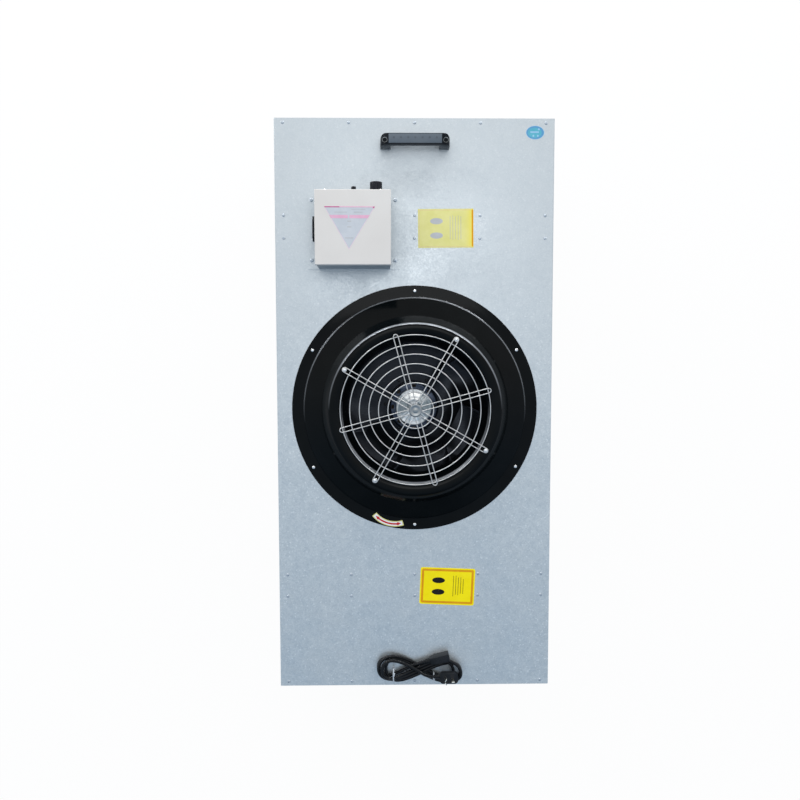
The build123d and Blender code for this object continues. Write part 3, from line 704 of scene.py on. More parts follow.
filmLooks = {
    "yellowFilm": ((0.86, 0.71, 0.002), (0.91, 0.77, 0.006)),
    "orangeFilm": ((0.66, 0.27, 0.004), (0.72, 0.33, 0.008)),
    "paleYellowFilm": ((0.69, 0.655, 0.23), (0.74, 0.70, 0.29)),
    "paleOrangeFilm": ((0.72, 0.54, 0.27), (0.75, 0.60, 0.35)),
    "inkFilm": ((0.006, 0.006, 0.006), (0.014, 0.014, 0.013)),
    "greyFilm": ((0.42, 0.43, 0.44), (0.5, 0.51, 0.53)),
    "whiteFilm": ((0.86, 0.87, 0.90), (0.90, 0.91, 0.94)),
    "redFilm": ((0.55, 0.03, 0.03), (0.62, 0.06, 0.05)),
    "blueFilm": ((0.09, 0.38, 0.49), (0.12, 0.42, 0.53)),
    "rimBlueFilm": ((0.10, 0.29, 0.50), (0.12, 0.32, 0.53)),
    "paleBlueFilm": ((0.26, 0.48, 0.66), (0.32, 0.54, 0.70)),
    "hazeFilm": ((0.49, 0.52, 0.56), (0.55, 0.575, 0.61)),
    "pinkFilm": ((0.68, 0.34, 0.48), (0.74, 0.46, 0.58)),
    "deepPinkFilm": ((0.45, 0.08, 0.22), (0.55, 0.14, 0.30)),
    "palePinkFilm": ((0.70, 0.52, 0.62), (0.74, 0.60, 0.68)),
}


def filmFinish(name):
    # printed plastic film, slightly uneven under its clear layer
    colour, shade = filmLooks[name]
    return newFinish(name, {"colour": colour, "shade": shade, "rough": (0.32, 0.46),
                            "grain": 500.0, "relief": 0.08, "patch": 45.0, "ior": 1.22,
                            "dust": 0.04, "scuffs": 0.08})


def fadedFinish():
    # pale yellow film that has kept its full colour near the end towards +X
    material = filmFinish("paleYellowFilm")
    tree = material.node_tree
    shader = tree.nodes["Principled BSDF"]
    axes = put(tree, "SeparateXYZ", {0: objectPlace(tree)})
    pale = shader.inputs["Base Color"].links[0].from_socket
    strong = ranged(tree, axes.outputs[0], 0, 0.85, 0.094, 0.119)
    tree.links.new(mixed(tree, sums(tree, strong, strong), pale, filmLooks["yellowFilm"][0]),
                   shader.inputs["Base Color"])
    return material


def buildFinishes():
    made = {slot: newFinish(slot, look) for slot, look in coatLooks.items()}
    made.update({name: filmFinish(name) for name in filmLooks})
    made["paleYellowFilm"] = fadedFinish()
    made["ring_black"] = ringFinish()
    made["galvanised"] = galvanisedFinish()
    made["bearing_steel"] = turnedFinish("bearing_steel", {
        "colour": (0.62, 0.63, 0.64), "shade": (0.76, 0.77, 0.78), "bright": (0.8, 0.8, 0.8),
        "rough": (0.16, 0.26), "rings": 1400.0, "wedges": 2.0, "pull": 0.4, "relief": 0.1})
    made["cap_aluminium"] = turnedFinish("cap_aluminium", {
        "colour": (0.19, 0.225, 0.24), "shade": (0.29, 0.33, 0.345), "bright": (0.98, 0.98, 0.96),
        "rough": (0.28, 0.38), "rings": 900.0, "wedges": 4.2, "pull": 0.6, "relief": 0.02})
    return made


buildGroups()
finishes = buildFinishes()
for row in frame["record"]["subparts"]:
    mesh = frame["nodes"][row["node"]].data
    mesh.materials.clear()
    # painted shade: the box body takes a dark slate copy of its cream
    look = "boxSlate" if row["node"] == "control_box_body" else row["material_slot"]
    mesh.materials.append(finishes[look])
setStudio()
print("studio and finishes ready")


# ---- supply cord, tied in a loose figure of eight

hank = {
    "diameter": 0.0068, "middle": (0.010, -0.5532), "reach": 0.088, "rise": 0.0226,
    "slope": -0.06, "pointsPerTurn": 22, "layer": 0.0068, "lane": 0.0072, "gap": 0.0002,
    # height in layers, sideways lane and tightness at each crossing and fold, in turn
    "layers": [0.3, 0, 0, 0, 1.05, 0.95, 0, 0.8, 1.05, 1.95, 0, 2.0, 1.05, 2.9, 2.1, 2.4],
    "lanes": [0, 0, -1, 0, -1, 0, 0, 0, 0, 0, 1, 0, 1, 0, 0, 0],
    "insets": [0, 0, 0, 0, 8, 16, 16, 16, 8, 0.2, 0.2, 0.2, 4, 8, 6, 0],
    "start": [(0.009, -0.5385, 0.331), (0.0, -0.5406, 0.3315), (-0.011, -0.545, 0.3311),
              (-0.023, -0.552, 0.3299), (-0.036, -0.5595, 0.3276), (-0.05, -0.566, 0.3252)],
    "end": [(0.017, -0.5575, 0.3405), (0.0255, -0.5598, 0.3442), (0.0355, -0.560, 0.347)],
    "length": 1.4,
}


def between(values, turns):
    # eases from one station's value to the next; there are four stations to a turn
    station = int(turns * 4)
    share = turns * 4 - station
    share = share * share * (3 - 2 * share)
    return values[station] * (1 - share) + values[station + 1] * share


def hankRoute():
    route = list(hank["start"])
    step = 4
    while step / hank["pointsPerTurn"] < 3.52:
        turns = step / hank["pointsPerTurn"]
        angle = pi / 2 + 2 * pi * turns
        inset = between(hank["insets"], turns) * 0.001
        lane = hank["lanes"][round(turns * 2) * 2] * cos(2 * pi * turns) ** 2
        x = (hank["reach"] - inset) * cos(angle)
        y = (hank["rise"] - 0.12 * inset) * sin(2 * angle) * (1 - 0.03 * cos(angle))
        y += hank["slope"] * x + lane * hank["lane"]
        z = hank["diameter"] / 2 + hank["gap"] + between(hank["layers"], turns) * hank["layer"]
        route.append((hank["middle"][0] + x, hank["middle"][1] + y, roofTop + z))
        step += 1
    return route + hank["end"]


def addCord():
    route = hankRoute()
    curve = bpy.data.curves.new("cordHank", "CURVE")
    curve.dimensions = "3D"
    spline = curve.splines.new("NURBS")
    spline.points.add(len(route) - 1)
    for point, place in zip(spline.points, route):
        point.co = (*place, 1)
    spline.order_u = 3
    spline.use_endpoint_u = True
    curve.resolution_u = 6
    curve.bevel_depth = hank["diameter"] / 2
    curve.bevel_resolution = 4
    curve.use_fill_caps = True
    piece = bpy.data.objects.new("cordHank", curve)
    scene.collection.objects.link(piece)
    return fit(piece, "cable_black", nodes=["cord_hank"])


connector = {"root": (0.009, -0.5385, 0.331), "turn": 14, "sleeve": 0.024, "shoulder": 0.034,
             "tip": 0.065, "height": 0.021, "width": 0.0155}


def reliefSleeve(name, length, slim, stout, ribs=5):
    # tapered strain relief along Z, with grooves between its ribs
    profile = [(0, 0), (slim, 0)]
    for n in range(ribs):
        share = (n + 0.35) / ribs
        radius = slim + (stout - slim) * share
        z = length * share
        profile += [(radius, z), (radius, z + 0.0009), (radius - 0.0011, z + 0.0012),
                    (radius - 0.0011, z + 0.0022), (radius + 0.0002, z + 0.0026)]
    profile += [(stout, length), (0, length)]
    return smooth(turnedPiece(name, profile, 24), 40)


def addConnector():
    c = connector
    body = blockPiece("connectorBody", (c["shoulder"], -c["width"] / 2, -c["height"] / 2),
                      (c["tip"], c["width"] / 2, c["height"] / 2))
    editing(body)
    # the shoulder narrows towards the sleeve
    pickFaces(lambda middle, normal: normal.x < -0.9)
    pushFaces(x=c["sleeve"] - c["shoulder"])
    bpy.ops.transform.resize(value=(1, 0.72, 0.6), center_override=(c["sleeve"], 0, 0))
    # the socket's face is set in
    pickFaces(lambda middle, normal: normal.x > 0.9)
    bpy.ops.mesh.inset(thickness=0.0016)
    pushFaces(x=-0.0012)
    doneEditing()
    rounded(body, 0.0016, 3, 40)
    smooth(body, 40)
    grips = []
    for n in range(4):
        for side in (-1, 1):
            x = c["shoulder"] + 0.006 + n * 0.0042
            y, z = c["width"] / 2 - 0.003, side * (c["height"] / 2 - 0.0002)
            low, high = (x, -y, z - 0.0006), (x + 0.0018, y, z + 0.0006)
            grips.append(rounded(blockPiece("grip", low, high), 0.0004))
    slots = [rounded(blockPiece("slot", (c["tip"] - 0.004, y - 0.0011, z - 0.0023),
                                (c["tip"] - 0.0008, y + 0.0011, z + 0.0023)), 0.0003)
             for y, z in ((-0.0015, -0.0055), (-0.0015, 0.0055), (0.002, 0))]
    sleeve = reliefSleeve("sleeve", c["sleeve"] + 0.001, 0.0037, 0.0057)
    sleeve = placed(sleeve, (0, 0, 0), (0, pi / 2, 0))
    shell = joined("cordConnector", [body, sleeve] + grips)
    face = joined("connectorSlots", slots)
    for piece in (shell, face):
        placed(piece, c["root"], (0, 0, radians(c["turn"])))
    fit(shell, "rubber_black", nodes=["cord_connector"])
    fit(face, "pin_brass")
    return shell, face


plug = {"place": (0.0705, -0.562, 0.340), "size": (0.038, 0.022, 0.014), "corner": 0.007,
        "pins": [(-8, -3, 30), (-8, 4, -30), (7, 0, 90)], "pinSize": (0.0016, 0.0064, 0.018)}


def addPlug():
    long, wide, tall = plug["size"]
    body = blockPiece("plugBody", (-long / 2, -wide / 2, 0), (long / 2, wide / 2, tall))
    editing(body)
    pickEdges(lambda a, b: abs(a.z - b.z) > tall / 2)
    bpy.ops.mesh.bevel(offset=plug["corner"], segments=6, affect="EDGES")
    pickFaces(lambda middle, normal: normal.z > 0.9)
    bpy.ops.mesh.inset(thickness=0.0022)
    pushFaces(z=-0.0007)
    doneEditing()
    rounded(body, 0.0011, 3, 40)
    smooth(body, 40)
    sleeve = reliefSleeve("sleeve", 0.019, 0.0037, 0.0057)
    sleeve = placed(sleeve, (-0.035, 0.002, 0.007), (0, pi / 2, 0))
    shell = placed(joined("cordPlug", [body, sleeve]), plug["place"])
    thick, broad, high = plug["pinSize"]
    pins = []
    for x, y, turn in plug["pins"]:
        pin = blockPiece("pin", (-thick / 2, -broad / 2, -0.001), (thick / 2, broad / 2, high))
        rounded(pin, 0.0005, 2)
        smooth(pin, 40)
        pins.append(placed(pin, (x * 0.001, y * 0.001, tall), (0, 0, radians(turn))))
    blades = placed(joined("plugPins", pins), plug["place"])
    fit(shell, "rubber_black", nodes=["cord_plug"])
    fit(blades, "pin_brass", nodes=["plug_pins"])
    return shell, blades


ties = {"places": [(-0.045, -0.5755, -0.5455, 0.0215), (0.0395, -0.5795, -0.5585, 0.0225)],
        "wire": 0.0013, "width": 0.0025, "tail": 0.007}


def addTies():
    loops = []
    for x, low, high, tall in ties["places"]:
        middle, half = (low + high) / 2, (high - low) / 2
        points = []
        for n in range(25):
            angle = 2 * pi * n / 24
            squash = 1 / max(abs(cos(angle)) ** 3 + abs(sin(angle)) ** 3, 1e-6) ** (1 / 3)
            points.append((x + 0.0003 * cos(2 * angle), middle + half * squash * cos(angle),
                           roofTop + 0.001 + tall / 2 + tall / 2 * squash * sin(angle)))
        band = wirePiece("tieLoop", points, ties["wire"], closed=True)
        editing(band)
        bpy.ops.mesh.select_all(action="SELECT")
        bpy.ops.transform.resize(value=(ties["width"] / ties["wire"], 1, 1),
                                 center_override=(x, middle, roofTop))
        doneEditing()
        loops.append(band)
        # the two ends are twisted together and lie over the hank
        for turn in (0, pi):
            tail = []
            for n in range(13):
                share = n / 12
                angle = 5 * pi * share + turn
                tail.append((x + 0.0011 * cos(angle) * (1 - 0.3 * share) + 0.002 * share,
                             middle + ties["tail"] * share * 0.8,
                             roofTop + 0.0022 + tall + 0.0009 * sin(angle) - 0.001 * share))
            loops.append(wirePiece("tieTail", tail, ties["wire"]))
    piece = smooth(joined("cordTies", loops), 50)
    return fit(piece, "tie_white", nodes=["cord_ties"])


cordPiece = addCord()
onCord = [*addConnector(), *addPlug(), addTies()]
print("supply cord laid")


# ---- inlet ring

ringShape = {
    "outside": [(0.2540, 0.3200), (0.2540, 0.3211), (0.2536, 0.3215), (0.2440, 0.3215),
                (0.2320, 0.3215), (0.2308, 0.3216), (0.2300, 0.3221), (0.2295, 0.3230),
                (0.2290, 0.3239), (0.2283, 0.3246), (0.2273, 0.3252), (0.2255, 0.3260),
                (0.2180, 0.3293), (0.2040, 0.3353), (0.1912, 0.3409),
                (0.1850, 0.3488), (0.1795, 0.3556), (0.1775, 0.3580), (0.1757, 0.3600),
                (0.1738, 0.3616), (0.1716, 0.3626), (0.1690, 0.3630), (0.1640, 0.3630),
                (0.1605, 0.3626), (0.1575, 0.3615), (0.1550, 0.3604), (0.1525, 0.3594),
                (0.1504, 0.3582), (0.1490, 0.3563), (0.1481, 0.3535), (0.1473, 0.3498),
                (0.1455, 0.3410), (0.1420, 0.3260), (0.1392, 0.3115), (0.1383, 0.3060),
                (0.1380, 0.3000), (0.1380, 0.2840)],
    "steps": 144, "sheet": 0.0014,
}


def addRing():
    piece = turnedPiece("inletRing", ringShape["outside"], ringShape["steps"])
    editing(piece)
    shape = bmesh.from_edit_mesh(piece.data)
    top = max(shape.faces, key=lambda face: face.calc_center_median().z)
    if top.normal.z < 0:
        bpy.ops.mesh.select_all(action="SELECT")
        bpy.ops.mesh.flip_normals()
    doneEditing()
    applied(piece, "SOLIDIFY", thickness=ringShape["sheet"], offset=-1)
    smooth(piece, 26)
    return fit(piece, "ring_black", nodes=["inlet_ring"])


def screwHead(name, radius, height, seat=0.0, washer=0.0):
    # domed head with a cross-shaped recess, its seat at the origin
    profile = [(0, seat)]
    if washer:
        profile = [(0, 0), (washer, 0), (washer, seat * 0.7), (washer - 0.0003, seat)]
    profile += [(radius, seat), (radius, seat + height * 0.35), (radius * 0.93, seat + height * 0.62),
                (radius * 0.74, seat + height * 0.86), (radius * 0.45, seat + height * 0.98),
                (0, seat + height)]
    head = turnedPiece(name, profile, 24)
    cut = []
    for turn in (0, pi / 2):
        slot = blockPiece("slot", (-radius * 0.52, -radius * 0.1, seat + height * 0.45),
                          (radius * 0.52, radius * 0.1, seat + height * 2))
        cut.append(placed(slot, (0, 0, 0), (0, 0, turn)))
    for slot in cut:
        cutWith(head, slot)
    return smooth(head, 40)


def domeHead(name, radius, height):
    # the smooth head of a blind rivet, with the dimple of its mandrel
    profile = [(0, 0), (radius, 0), (radius * 0.98, height * 0.3), (radius * 0.84, height * 0.66),
               (radius * 0.6, height * 0.92), (radius * 0.36, height), (radius * 0.3, height * 0.72),
               (0, height * 0.7)]
    return smooth(turnedPiece(name, profile, 16), 50)


ringFlange = roofTop + 0.0015
ringScrews = {"radius": 0.243, "count": 6, "first": 30, "head": 0.0035, "height": 0.0026}
rivets = {"rows": [0.581, 0.396, 0.350], "pitch": 0.1336, "head": 0.0031, "height": 0.0012}
boxScrews = {"x": (-0.210, -0.0398), "y": (0.305, 0.4265), "head": 0.0038, "height": 0.0019}


def addFasteners():
    head = screwHead("ringScrew", ringScrews["head"], ringScrews["height"])
    spots = onCircle(ringScrews["radius"], ringScrews["count"], ringScrews["first"], ringFlange)
    fit(copies("ringScrews", head, spots), "screw_zinc", nodes=["ring_screws"])

    low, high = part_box("box_mounting_plate")
    spots = []
    for y in [side * row for side in (-1, 1) for row in rivets["rows"]]:
        for column in range(-2, 3):
            x = column * rivets["pitch"]
            if not (low.x < x < high.x and low.y < y < high.y):
                spots.append((x, y, roofTop, 0.7 * column))
    head = domeHead("roofRivet", rivets["head"], rivets["height"])
    fit(copies("roofRivets", head, spots), "rivet_metal", nodes=["roof_rivets"])

    head = screwHead("boxScrew", boxScrews["head"], boxScrews["height"])
    spots = [(x, y, high.z, 3 * x) for x in boxScrews["x"] for y in boxScrews["y"]]
    fit(copies("boxPlateScrews", head, spots), "screw_zinc", nodes=["box_plate_screws"],
        material=finishes["rivet_metal"])


# ---- wire guard

guard = {"radii": [0.0368, 0.0556, 0.0746, 0.094, 0.1133, 0.1327, 0.1522], "wire": 0.0023,
         "ringHeight": 0.3615, "spokeHeight": 0.36425, "spokeWire": 0.0021, "gap": 0.0095,
         "first": 15, "screwRadius": 0.164, "shortEnd": 0.152, "innerEnd": 0.0125,
         "button": 0.0135, "weld": 0.0013, "weldHeight": 0.36285, "screwHead": 0.0029,
         "screwHeight": 0.0024, "screws": 4, "firstScrew": 60, "washer": 0.0040,
         "washerHeight": 0.001}


def addGuard():
    rings = []
    for radius in guard["radii"]:
        clearSelection()
        bpy.ops.mesh.primitive_torus_add(location=(0, 0, guard["ringHeight"]), major_radius=radius,
                                         minor_radius=guard["wire"] / 2, major_segments=96,
                                         minor_segments=10)
        rings.append(bpy.context.object)
    # a flattened weld bead under each crossing
    for radius in guard["radii"]:
        for spoke in range(8):
            for side in (-1, 1):
                angle = radians(guard["first"] + 45 * spoke)
                angle += side * atan2(guard["gap"] / 2, radius)
                clearSelection()
                bpy.ops.mesh.primitive_uv_sphere_add(
                    segments=8, ring_count=5, radius=guard["weld"],
                    location=(radius * cos(angle), radius * sin(angle), guard["weldHeight"]))
                bead = bpy.context.object
                bead.scale = (1.25, 1.0, 0.75)
                bead.rotation_euler = (0, 0, angle)
                rings.append(bead)
    hoops = smooth(joined("guardRings", rings), 60)
    fit(hoops, "guard_chrome", nodes=["guard_rings"])

    spokes = []
    half = guard["gap"] / 2
    for spoke in range(8):
        turn = radians(guard["first"] + 45 * spoke)
        toScrew = (guard["first"] + 45 * spoke) % 90 == 60
        end = guard["screwRadius"] if toScrew else guard["shortEnd"]
        outline = [(guard["innerEnd"], -half), (0.05, -half), (0.1, -half), (end, -half)]
        bulge = 1.0 if toScrew else 1.25
        for n in range(1, 10):
            angle = -pi / 2 + pi * n / 10
            outline.append((end + half * bulge * cos(angle), half * sin(angle)))
        outline += [(end, half), (0.1, half), (0.05, half), (guard["innerEnd"], half)]
        points = [(x * cos(turn) - y * sin(turn), x * sin(turn) + y * cos(turn),
                   guard["spokeHeight"]) for x, y in outline]
        spokes.append(wirePiece("spoke", points, guard["spokeWire"], sides=3))
    fit(smooth(joined("guardSpokes", spokes), 60), "guard_chrome", nodes=["guard_spokes"])

    r, z = guard["button"], guard["spokeHeight"] + guard["spokeWire"] / 2
    profile = [(0, z), (r - 0.0006, z), (r, z + 0.0006), (r, z + 0.0016), (r - 0.0007, z + 0.0026),
               (r - 0.002, z + 0.0032), (r - 0.0036, z + 0.0029), (0.0068, z + 0.0019),
               (0.0056, z + 0.0017), (0.0046, z + 0.0024), (0.0024, z + 0.0028), (0, z + 0.0029)]
    button = smooth(turnedPiece("guardButton", profile, 40), 60)
    fit(button, "guard_chrome", nodes=["guard_button"], material=finishes["pitSteel"])

    head = screwHead("guardScrew", guard["screwHead"], guard["screwHeight"],
                     guard["washerHeight"], guard["washer"])
    spots = onCircle(guard["screwRadius"], guard["screws"], guard["firstScrew"], z)
    fit(copies("guardScrews", head, spots), "screw_zinc", nodes=["guard_screws"])


# ---- fan

cap = {"radius": 0.0395, "base": 0.264, "height": 0.005}


def addFan():
    r, z, h = cap["radius"], cap["base"], cap["height"]
    profile = [(0, z), (r, z), (r, z + h * 0.62), (r - 0.0006, z + h * 0.86), (r - 0.0016, z + h),
               (0.031, z + h), (0.0306, z + h - 0.0003), (0.0300, z + h), (0.0205, z + h),
               (0.0201, z + h - 0.0003), (0.0195, z + h), (0.0142, z + h), (0.0135, z + h - 0.0002),
               (0.0122, z + h - 0.0012), (0.0062, z + h - 0.0012), (0.0058, z + h - 0.0016),
               (0, z + h - 0.0016)]
    disc = smooth(turnedPiece("bearingCap", profile, 72), 30)
    fit(disc, "cap_aluminium", "fan", ["bearing_cap"])
    for node, width, look in (("rotor_shell", 0.0008, "rotorBlue"),
                              ("impeller", 0.0, "impeller_metal"),
                              ("impeller_bolts", 0.0004, "motor_dark")):
        fit(softened(node, width), slotOf(node), "fan", [node], finishes[look])


# ---- control box and its fittings

def addBox():
    for node, width, segments in (("control_box_lid", 0.0016, 3), ("control_box_body", 0.0005, 2),
                                  ("iec_inlet", 0.0005, 2),
                                  ("fuse_holder", 0.0005, 2), ("regulator_nut", 0.0003, 2),
                                  ("speed_knob", 0.0004, 2), ("lid_screws", 0.0003, 2),
                                  ("inlet_screws", 0.0003, 2), ("inlet_pins", 0.0004, 2)):
        # painted shade: the box body takes a dark slate copy of its cream
        look = "boxSlate" if node == "control_box_body" else slotOf(node)
        fit(softened(node, width, segments), slotOf(node), bodyOf(node), [node], finishes[look])


# ---- handle

handle = {"x": 0.0695, "y": (0.5275, 0.5495), "height": 0.038, "grip": 0.012, "foot": 0.0205,
          "corner": 0.018, "planCorner": 0.009, "inner": 0.004, "bevel": 0.0007, "insert": 0.0528,
          "insertRise": 0.00035, "dots": 7, "dotPitch": 0.0142, "dotY": 0.5408,
          "well": (0.0606, 0.5362), "wellRadius": 0.0049, "wellDepth": 0.008}


def handleOutline():
    # the handle seen along the unit, as (x, height) points
    half, top, radius = handle["x"], handle["height"], handle["corner"]
    inside, under = half - handle["foot"], top - handle["grip"]
    points = [(-half, 0)]
    for n in range(9):
        angle = pi - pi / 2 * n / 8
        points.append((-half + radius + radius * cos(angle), top - radius + radius * sin(angle)))
    points += [(-x, z) for x, z in reversed(points)]
    inner = handle["inner"]
    points += [(inside, 0), (inside, under - inner), (inside - inner * 0.3, under - inner * 0.3),
               (inside - inner, under), (-inside + inner, under),
               (-inside + inner * 0.3, under - inner * 0.3), (-inside, under - inner), (-inside, 0)]
    return points


def planOutline():
    # the handle seen from above, with its two far corners rounded
    low, high = handle["y"]
    half, radius = handle["x"], handle["planCorner"]
    points = [(-half, low), (half, low)]
    for n in range(9):
        angle = pi / 2 * n / 8
        points.append((half - radius + radius * cos(angle), high - radius + radius * sin(angle)))
    return points + [(-x, y) for x, y in reversed(points[2:])]


def addHandle():
    low, high = handle["y"]
    top = roofTop + handle["height"]
    bar = platePiece("handle", handleOutline(), 0, high - low)
    placed(bar, (0, high, roofTop), (pi / 2, 0, 0))
    # the two corners on the far side are round in plan, and the screw wells are sunk
    tools = [("INTERSECT", platePiece("tool", planOutline(), roofTop - 0.01, roofTop + 0.06))]
    for side in (-1, 1):
        well = discPiece("tool", handle["wellRadius"], top - handle["wellDepth"], roofTop + 0.06,
                         28, (side * handle["well"][0], handle["well"][1]))
        tools.append(("DIFFERENCE", well))
    for operation, tool in tools:
        cutWith(bar, tool, operation)
    rounded(bar, handle["bevel"], 3, 50)
    editing(bar)
    doneEditing(turnOut=True)
    smooth(bar, 40)
    # the end blocks' faces towards the cord are coarser, and painted lighter grey as the sheen they
    # show
    bar.data.materials.append(finishes["handle_black"])
    bar.data.materials.append(finishes["footGrey"])
    under = top - handle["grip"]
    for face in bar.data.polygons:
        if face.normal.y < -0.8 and face.center.z < under:
            face.material_index = 1
    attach(bar, "housing")
    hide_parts("handle")
    # cup washers round the two screw wells
    cup = [(0.0032, -0.0028), (0.0046, 0.0002), (0.0051, 0.0003), (0.0051, -0.0006),
           (0.0034, -0.0036)]
    cup = smooth(turnedPiece("cupWashers", cup + cup[:1], 28), 30)
    wells = [(side * handle["well"][0], handle["well"][1], top, 0) for side in (-1, 1)]
    fit(copies("cupWashers", cup, wells), "screw_zinc", material=finishes["pitSteel"])
    pit = discPiece("wellShadows", 0.0036, -0.006, -0.0026, 24)
    fit(copies("wellShadows", pit, wells), "handle_black")

    # the grip's matte top, painted grey-blue: its texture is real, its lightness painted sheen
    insert = blockPiece("handleGrip", (-handle["insert"], low + 0.0026, top - 0.001),
                        (handle["insert"], high - 0.0012, top + handle["insertRise"]))
    rounded(insert, 0.0003, 2)
    # seven dimples in the grip, drawn as discs painted darker as their shade
    dots = [discPiece("dot", 0.0021, top, top + handle["insertRise"] + 0.00012, 20,
                      ((n - (handle["dots"] - 1) / 2) * handle["dotPitch"], handle["dotY"]))
            for n in range(handle["dots"])]
    fit(smooth(insert, 40), "handle_black", material=finishes["gripGrey"])
    fit(smooth(joined("gripDots", dots), 40), "handle_black", material=finishes["gripDark"])


# ---- printed film stickers, bare of words and signs

film = {"z": 0.00016, "layer": 0.00005}
upperLabel = {"centre": (0.0636, 0.370), "size": (0.1135, 0.0786), "turn": 0.5}
lowerLabel = {"centre": (0.0689, -0.3768), "size": (0.1155, 0.0792), "turn": -2.5}
ovalLabel = {"centre": (0.2448, 0.562), "size": (0.0356, 0.0258)}
ringLabel = {"centre": (-0.0411, -0.1864), "radii": (0.0499, 0.0614), "angles": (218.7, 287.5)}
boxLabel = [(-0.1776, 0.3981), (-0.0794, 0.3977), (-0.1300, 0.3157)]


def oblong(x, y, wide, high, corner=0.0):
    # outline of a rectangle about (x, y), its corners cut round
    if not corner:
        corners = ((-1, -1), (1, -1), (1, 1), (-1, 1))
        return [(x + i * wide / 2, y + j * high / 2) for i, j in corners]
    points = []
    for quarter, (i, j) in enumerate(((1, 1), (-1, 1), (-1, -1), (1, -1))):
        for n in range(5):
            angle = pi / 2 * (quarter + n / 4)
            points.append((x + i * (wide / 2 - corner) + corner * cos(angle),
                           y + j * (high / 2 - corner) + corner * sin(angle)))
    return points


def oval(x, y, wide, high, sides=32):
    return [(x + wide / 2 * cos(2 * pi * n / sides), y + high / 2 * sin(2 * pi * n / sides))
            for n in range(sides)]


def sticker(name, base, layers, place=(0, 0), turn=0.0):
    # each layer is (outline, film, level); the first level lies on the surface
    parts = []
    for outline, look, level in layers:
        top = film["z"] + level * film["layer"]
        part = platePiece(name, outline, 0 if level == 0 else film["z"] * 0.5, top)
        part.data.materials.append(finishes[look])
        parts.append(part)
    piece = joined(name, parts)
    placed(piece, (*place, base), (0, 0, radians(turn)))
    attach(piece, "housing")


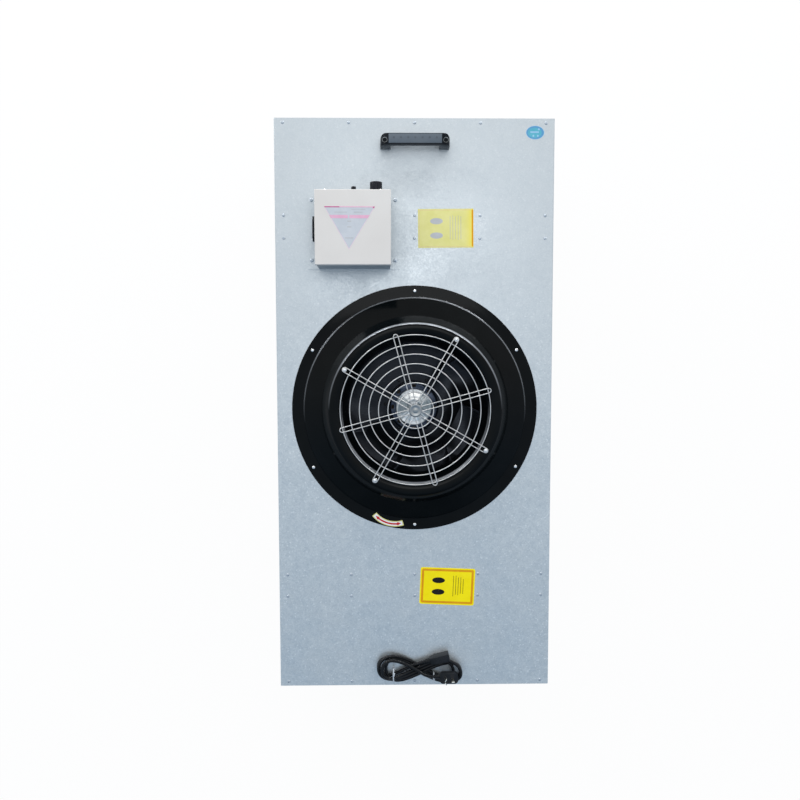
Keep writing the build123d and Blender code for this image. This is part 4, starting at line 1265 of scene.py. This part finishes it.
def addStickers():
    wide, high = upperLabel["size"]
    layers = [(oblong(0, 0, wide, high, 0.001), "paleYellowFilm", 0),
              (oblong(0, 0, wide - 0.004, high - 0.004, 0.001), "paleOrangeFilm", 1),
              (oblong(0, 0, wide - 0.006, high - 0.006, 0.001), "paleYellowFilm", 2),
              (oblong(0.0547, 0, 0.0030, high - 0.005), "orangeFilm", 4),
              (oval(-0.019, 0.0145, 0.026, 0.0125), "greyFilm", 3),
              (oval(-0.019, -0.0145, 0.026, 0.0125), "greyFilm", 3)]
    layers += [(oblong(0.009 + 0.0055 * n, 0.001, 0.0008, 0.046 + 0.004 * (n % 2)), "greyFilm", 3)
               for n in range(5)]
    sticker("upperLabel", roofTop, layers, upperLabel["centre"], upperLabel["turn"])

    wide, high = lowerLabel["size"]
    layers = [(oblong(0, 0, wide, high, 0.004), "yellowFilm", 0),
              (oblong(0, 0, wide - 0.006, high - 0.006, 0.003), "orangeFilm", 1),
              (oblong(0, 0, wide - 0.015, high - 0.015, 0.001), "yellowFilm", 2),
              (oval(-0.019, 0.0125, 0.027, 0.0125), "inkFilm", 3),
              (oval(-0.019, -0.0125, 0.027, 0.0125), "inkFilm", 3)]
    layers += [(oblong(0.0125 + 0.0052 * n, 0.001 + 0.002 * (n % 2), 0.0009, 0.044 - 0.003 * n),
                "inkFilm", 3) for n in range(5)]
    sticker("lowerLabel", roofTop, layers, lowerLabel["centre"], lowerLabel["turn"])

    wide, high = ovalLabel["size"]
    layers = [(oval(0, 0, wide + 0.0016, high + 0.0016), "paleBlueFilm", 0),
              (oval(0, 0, wide, high), "rimBlueFilm", 1),
              (oval(-0.0006, -0.0002, wide - 0.0075, high - 0.006), "blueFilm", 1.5),
              (oblong(-0.001, 0.001, 0.018, 0.0035, 0.0016), "paleBlueFilm", 2),
              (oval(0.0075, 0.0065, 0.0042, 0.0042, 20), "paleBlueFilm", 2),
              (oval(-0.0035, -0.0065, 0.0038, 0.0042, 20), "paleBlueFilm", 2),
              (oval(0.0055, -0.0065, 0.0038, 0.0042, 20), "paleBlueFilm", 2)]
    sticker("ovalLabel", roofTop, layers, ovalLabel["centre"])

    def arc(inset, ends, pointed=False):
        # a curved strip; a pointed one widens before each end and runs to a tip
        inner, outer = ringLabel["radii"][0] + inset, ringLabel["radii"][1] - inset
        first, last = (radians(a) for a in ringLabel["angles"])
        first, last = first + ends, last - ends
        steps = [first + (last - first) * n / 14 for n in range(15)]
        flare = [0.0016 if pointed and n in (0, 14) else 0 for n in range(15)]
        low = [((inner - f) * cos(a), (inner - f) * sin(a)) for a, f in zip(steps, flare)]
        high = [((outer + f) * cos(a), (outer + f) * sin(a)) for a, f in zip(steps, flare)][::-1]
        if not pointed:
            return low + high
        middle, reach = (inner + outer) / 2, 0.12
        tip = [(middle * cos(last + reach), middle * sin(last + reach))]
        tail = [(middle * cos(first - reach), middle * sin(first - reach))]
        return tail + low + tip + high

    layers = [(arc(0, 0), "paleYellowFilm", 0), (arc(0.0018, 0.034), "whiteFilm", 1),
              (arc(0.0040, 0.2, True), "redFilm", 2)]
    sticker("ringLabel", ringFlange, layers, ringLabel["centre"])

    middle = [sum(corner[k] for corner in boxLabel) / 3 for k in (0, 1)]

    def shrunk(share):
        return [(middle[0] + (x - middle[0]) * share, middle[1] + (y - middle[1]) * share)
                for x, y in reversed(boxLabel)]

    left, right, bottom = boxLabel

    def across(high, low, start=0.0, end=1.0):
        # a band between the triangle's sides, from one share of its depth to another
        def spot(depth, share):
            a = [left[k] + (bottom[k] - left[k]) * depth for k in (0, 1)]
            b = [right[k] + (bottom[k] - right[k]) * depth for k in (0, 1)]
            return (a[0] + (b[0] - a[0]) * share, a[1] + (b[1] - a[1]) * share)
        return [spot(low, start), spot(low, end), spot(high, end), spot(high, start)]

    layers = [(shrunk(1.0), "palePinkFilm", 0), (shrunk(0.965), "hazeFilm", 1),
              (across(0.0, 0.026, 0.0, 0.30), "deepPinkFilm", 2),
              (across(0.0, 0.022, 0.30, 0.97), "pinkFilm", 2),
              (across(0.0, 0.04, 0.97, 1.0), "deepPinkFilm", 2),
              (across(0.2, 0.275, 0.0, 0.46), "pinkFilm", 2),
              (across(0.2, 0.275, 0.5, 1.0), "pinkFilm", 2),
              (across(0.06, 0.075, 0.54, 0.84), "greyFilm", 2),
              (across(0.125, 0.145, 0.16, 0.44), "greyFilm", 2),
              (across(0.125, 0.145, 0.6, 0.8), "greyFilm", 2),
              (across(0.33, 0.36, 0.44, 0.56), "greyFilm", 2),
              (across(0.46, 0.49, 0.42, 0.58), "greyFilm", 2),
              (across(0.72, 0.745, 0.2, 0.8), "greyFilm", 2)]
    sticker("boxLabel", lidTop, layers)


addRing()
addFasteners()
print("inlet ring and fasteners made")
addGuard()
addFan()
print("guard and fan made")
addBox()
addHandle()
addStickers()
print("control box, handle and stickers made")
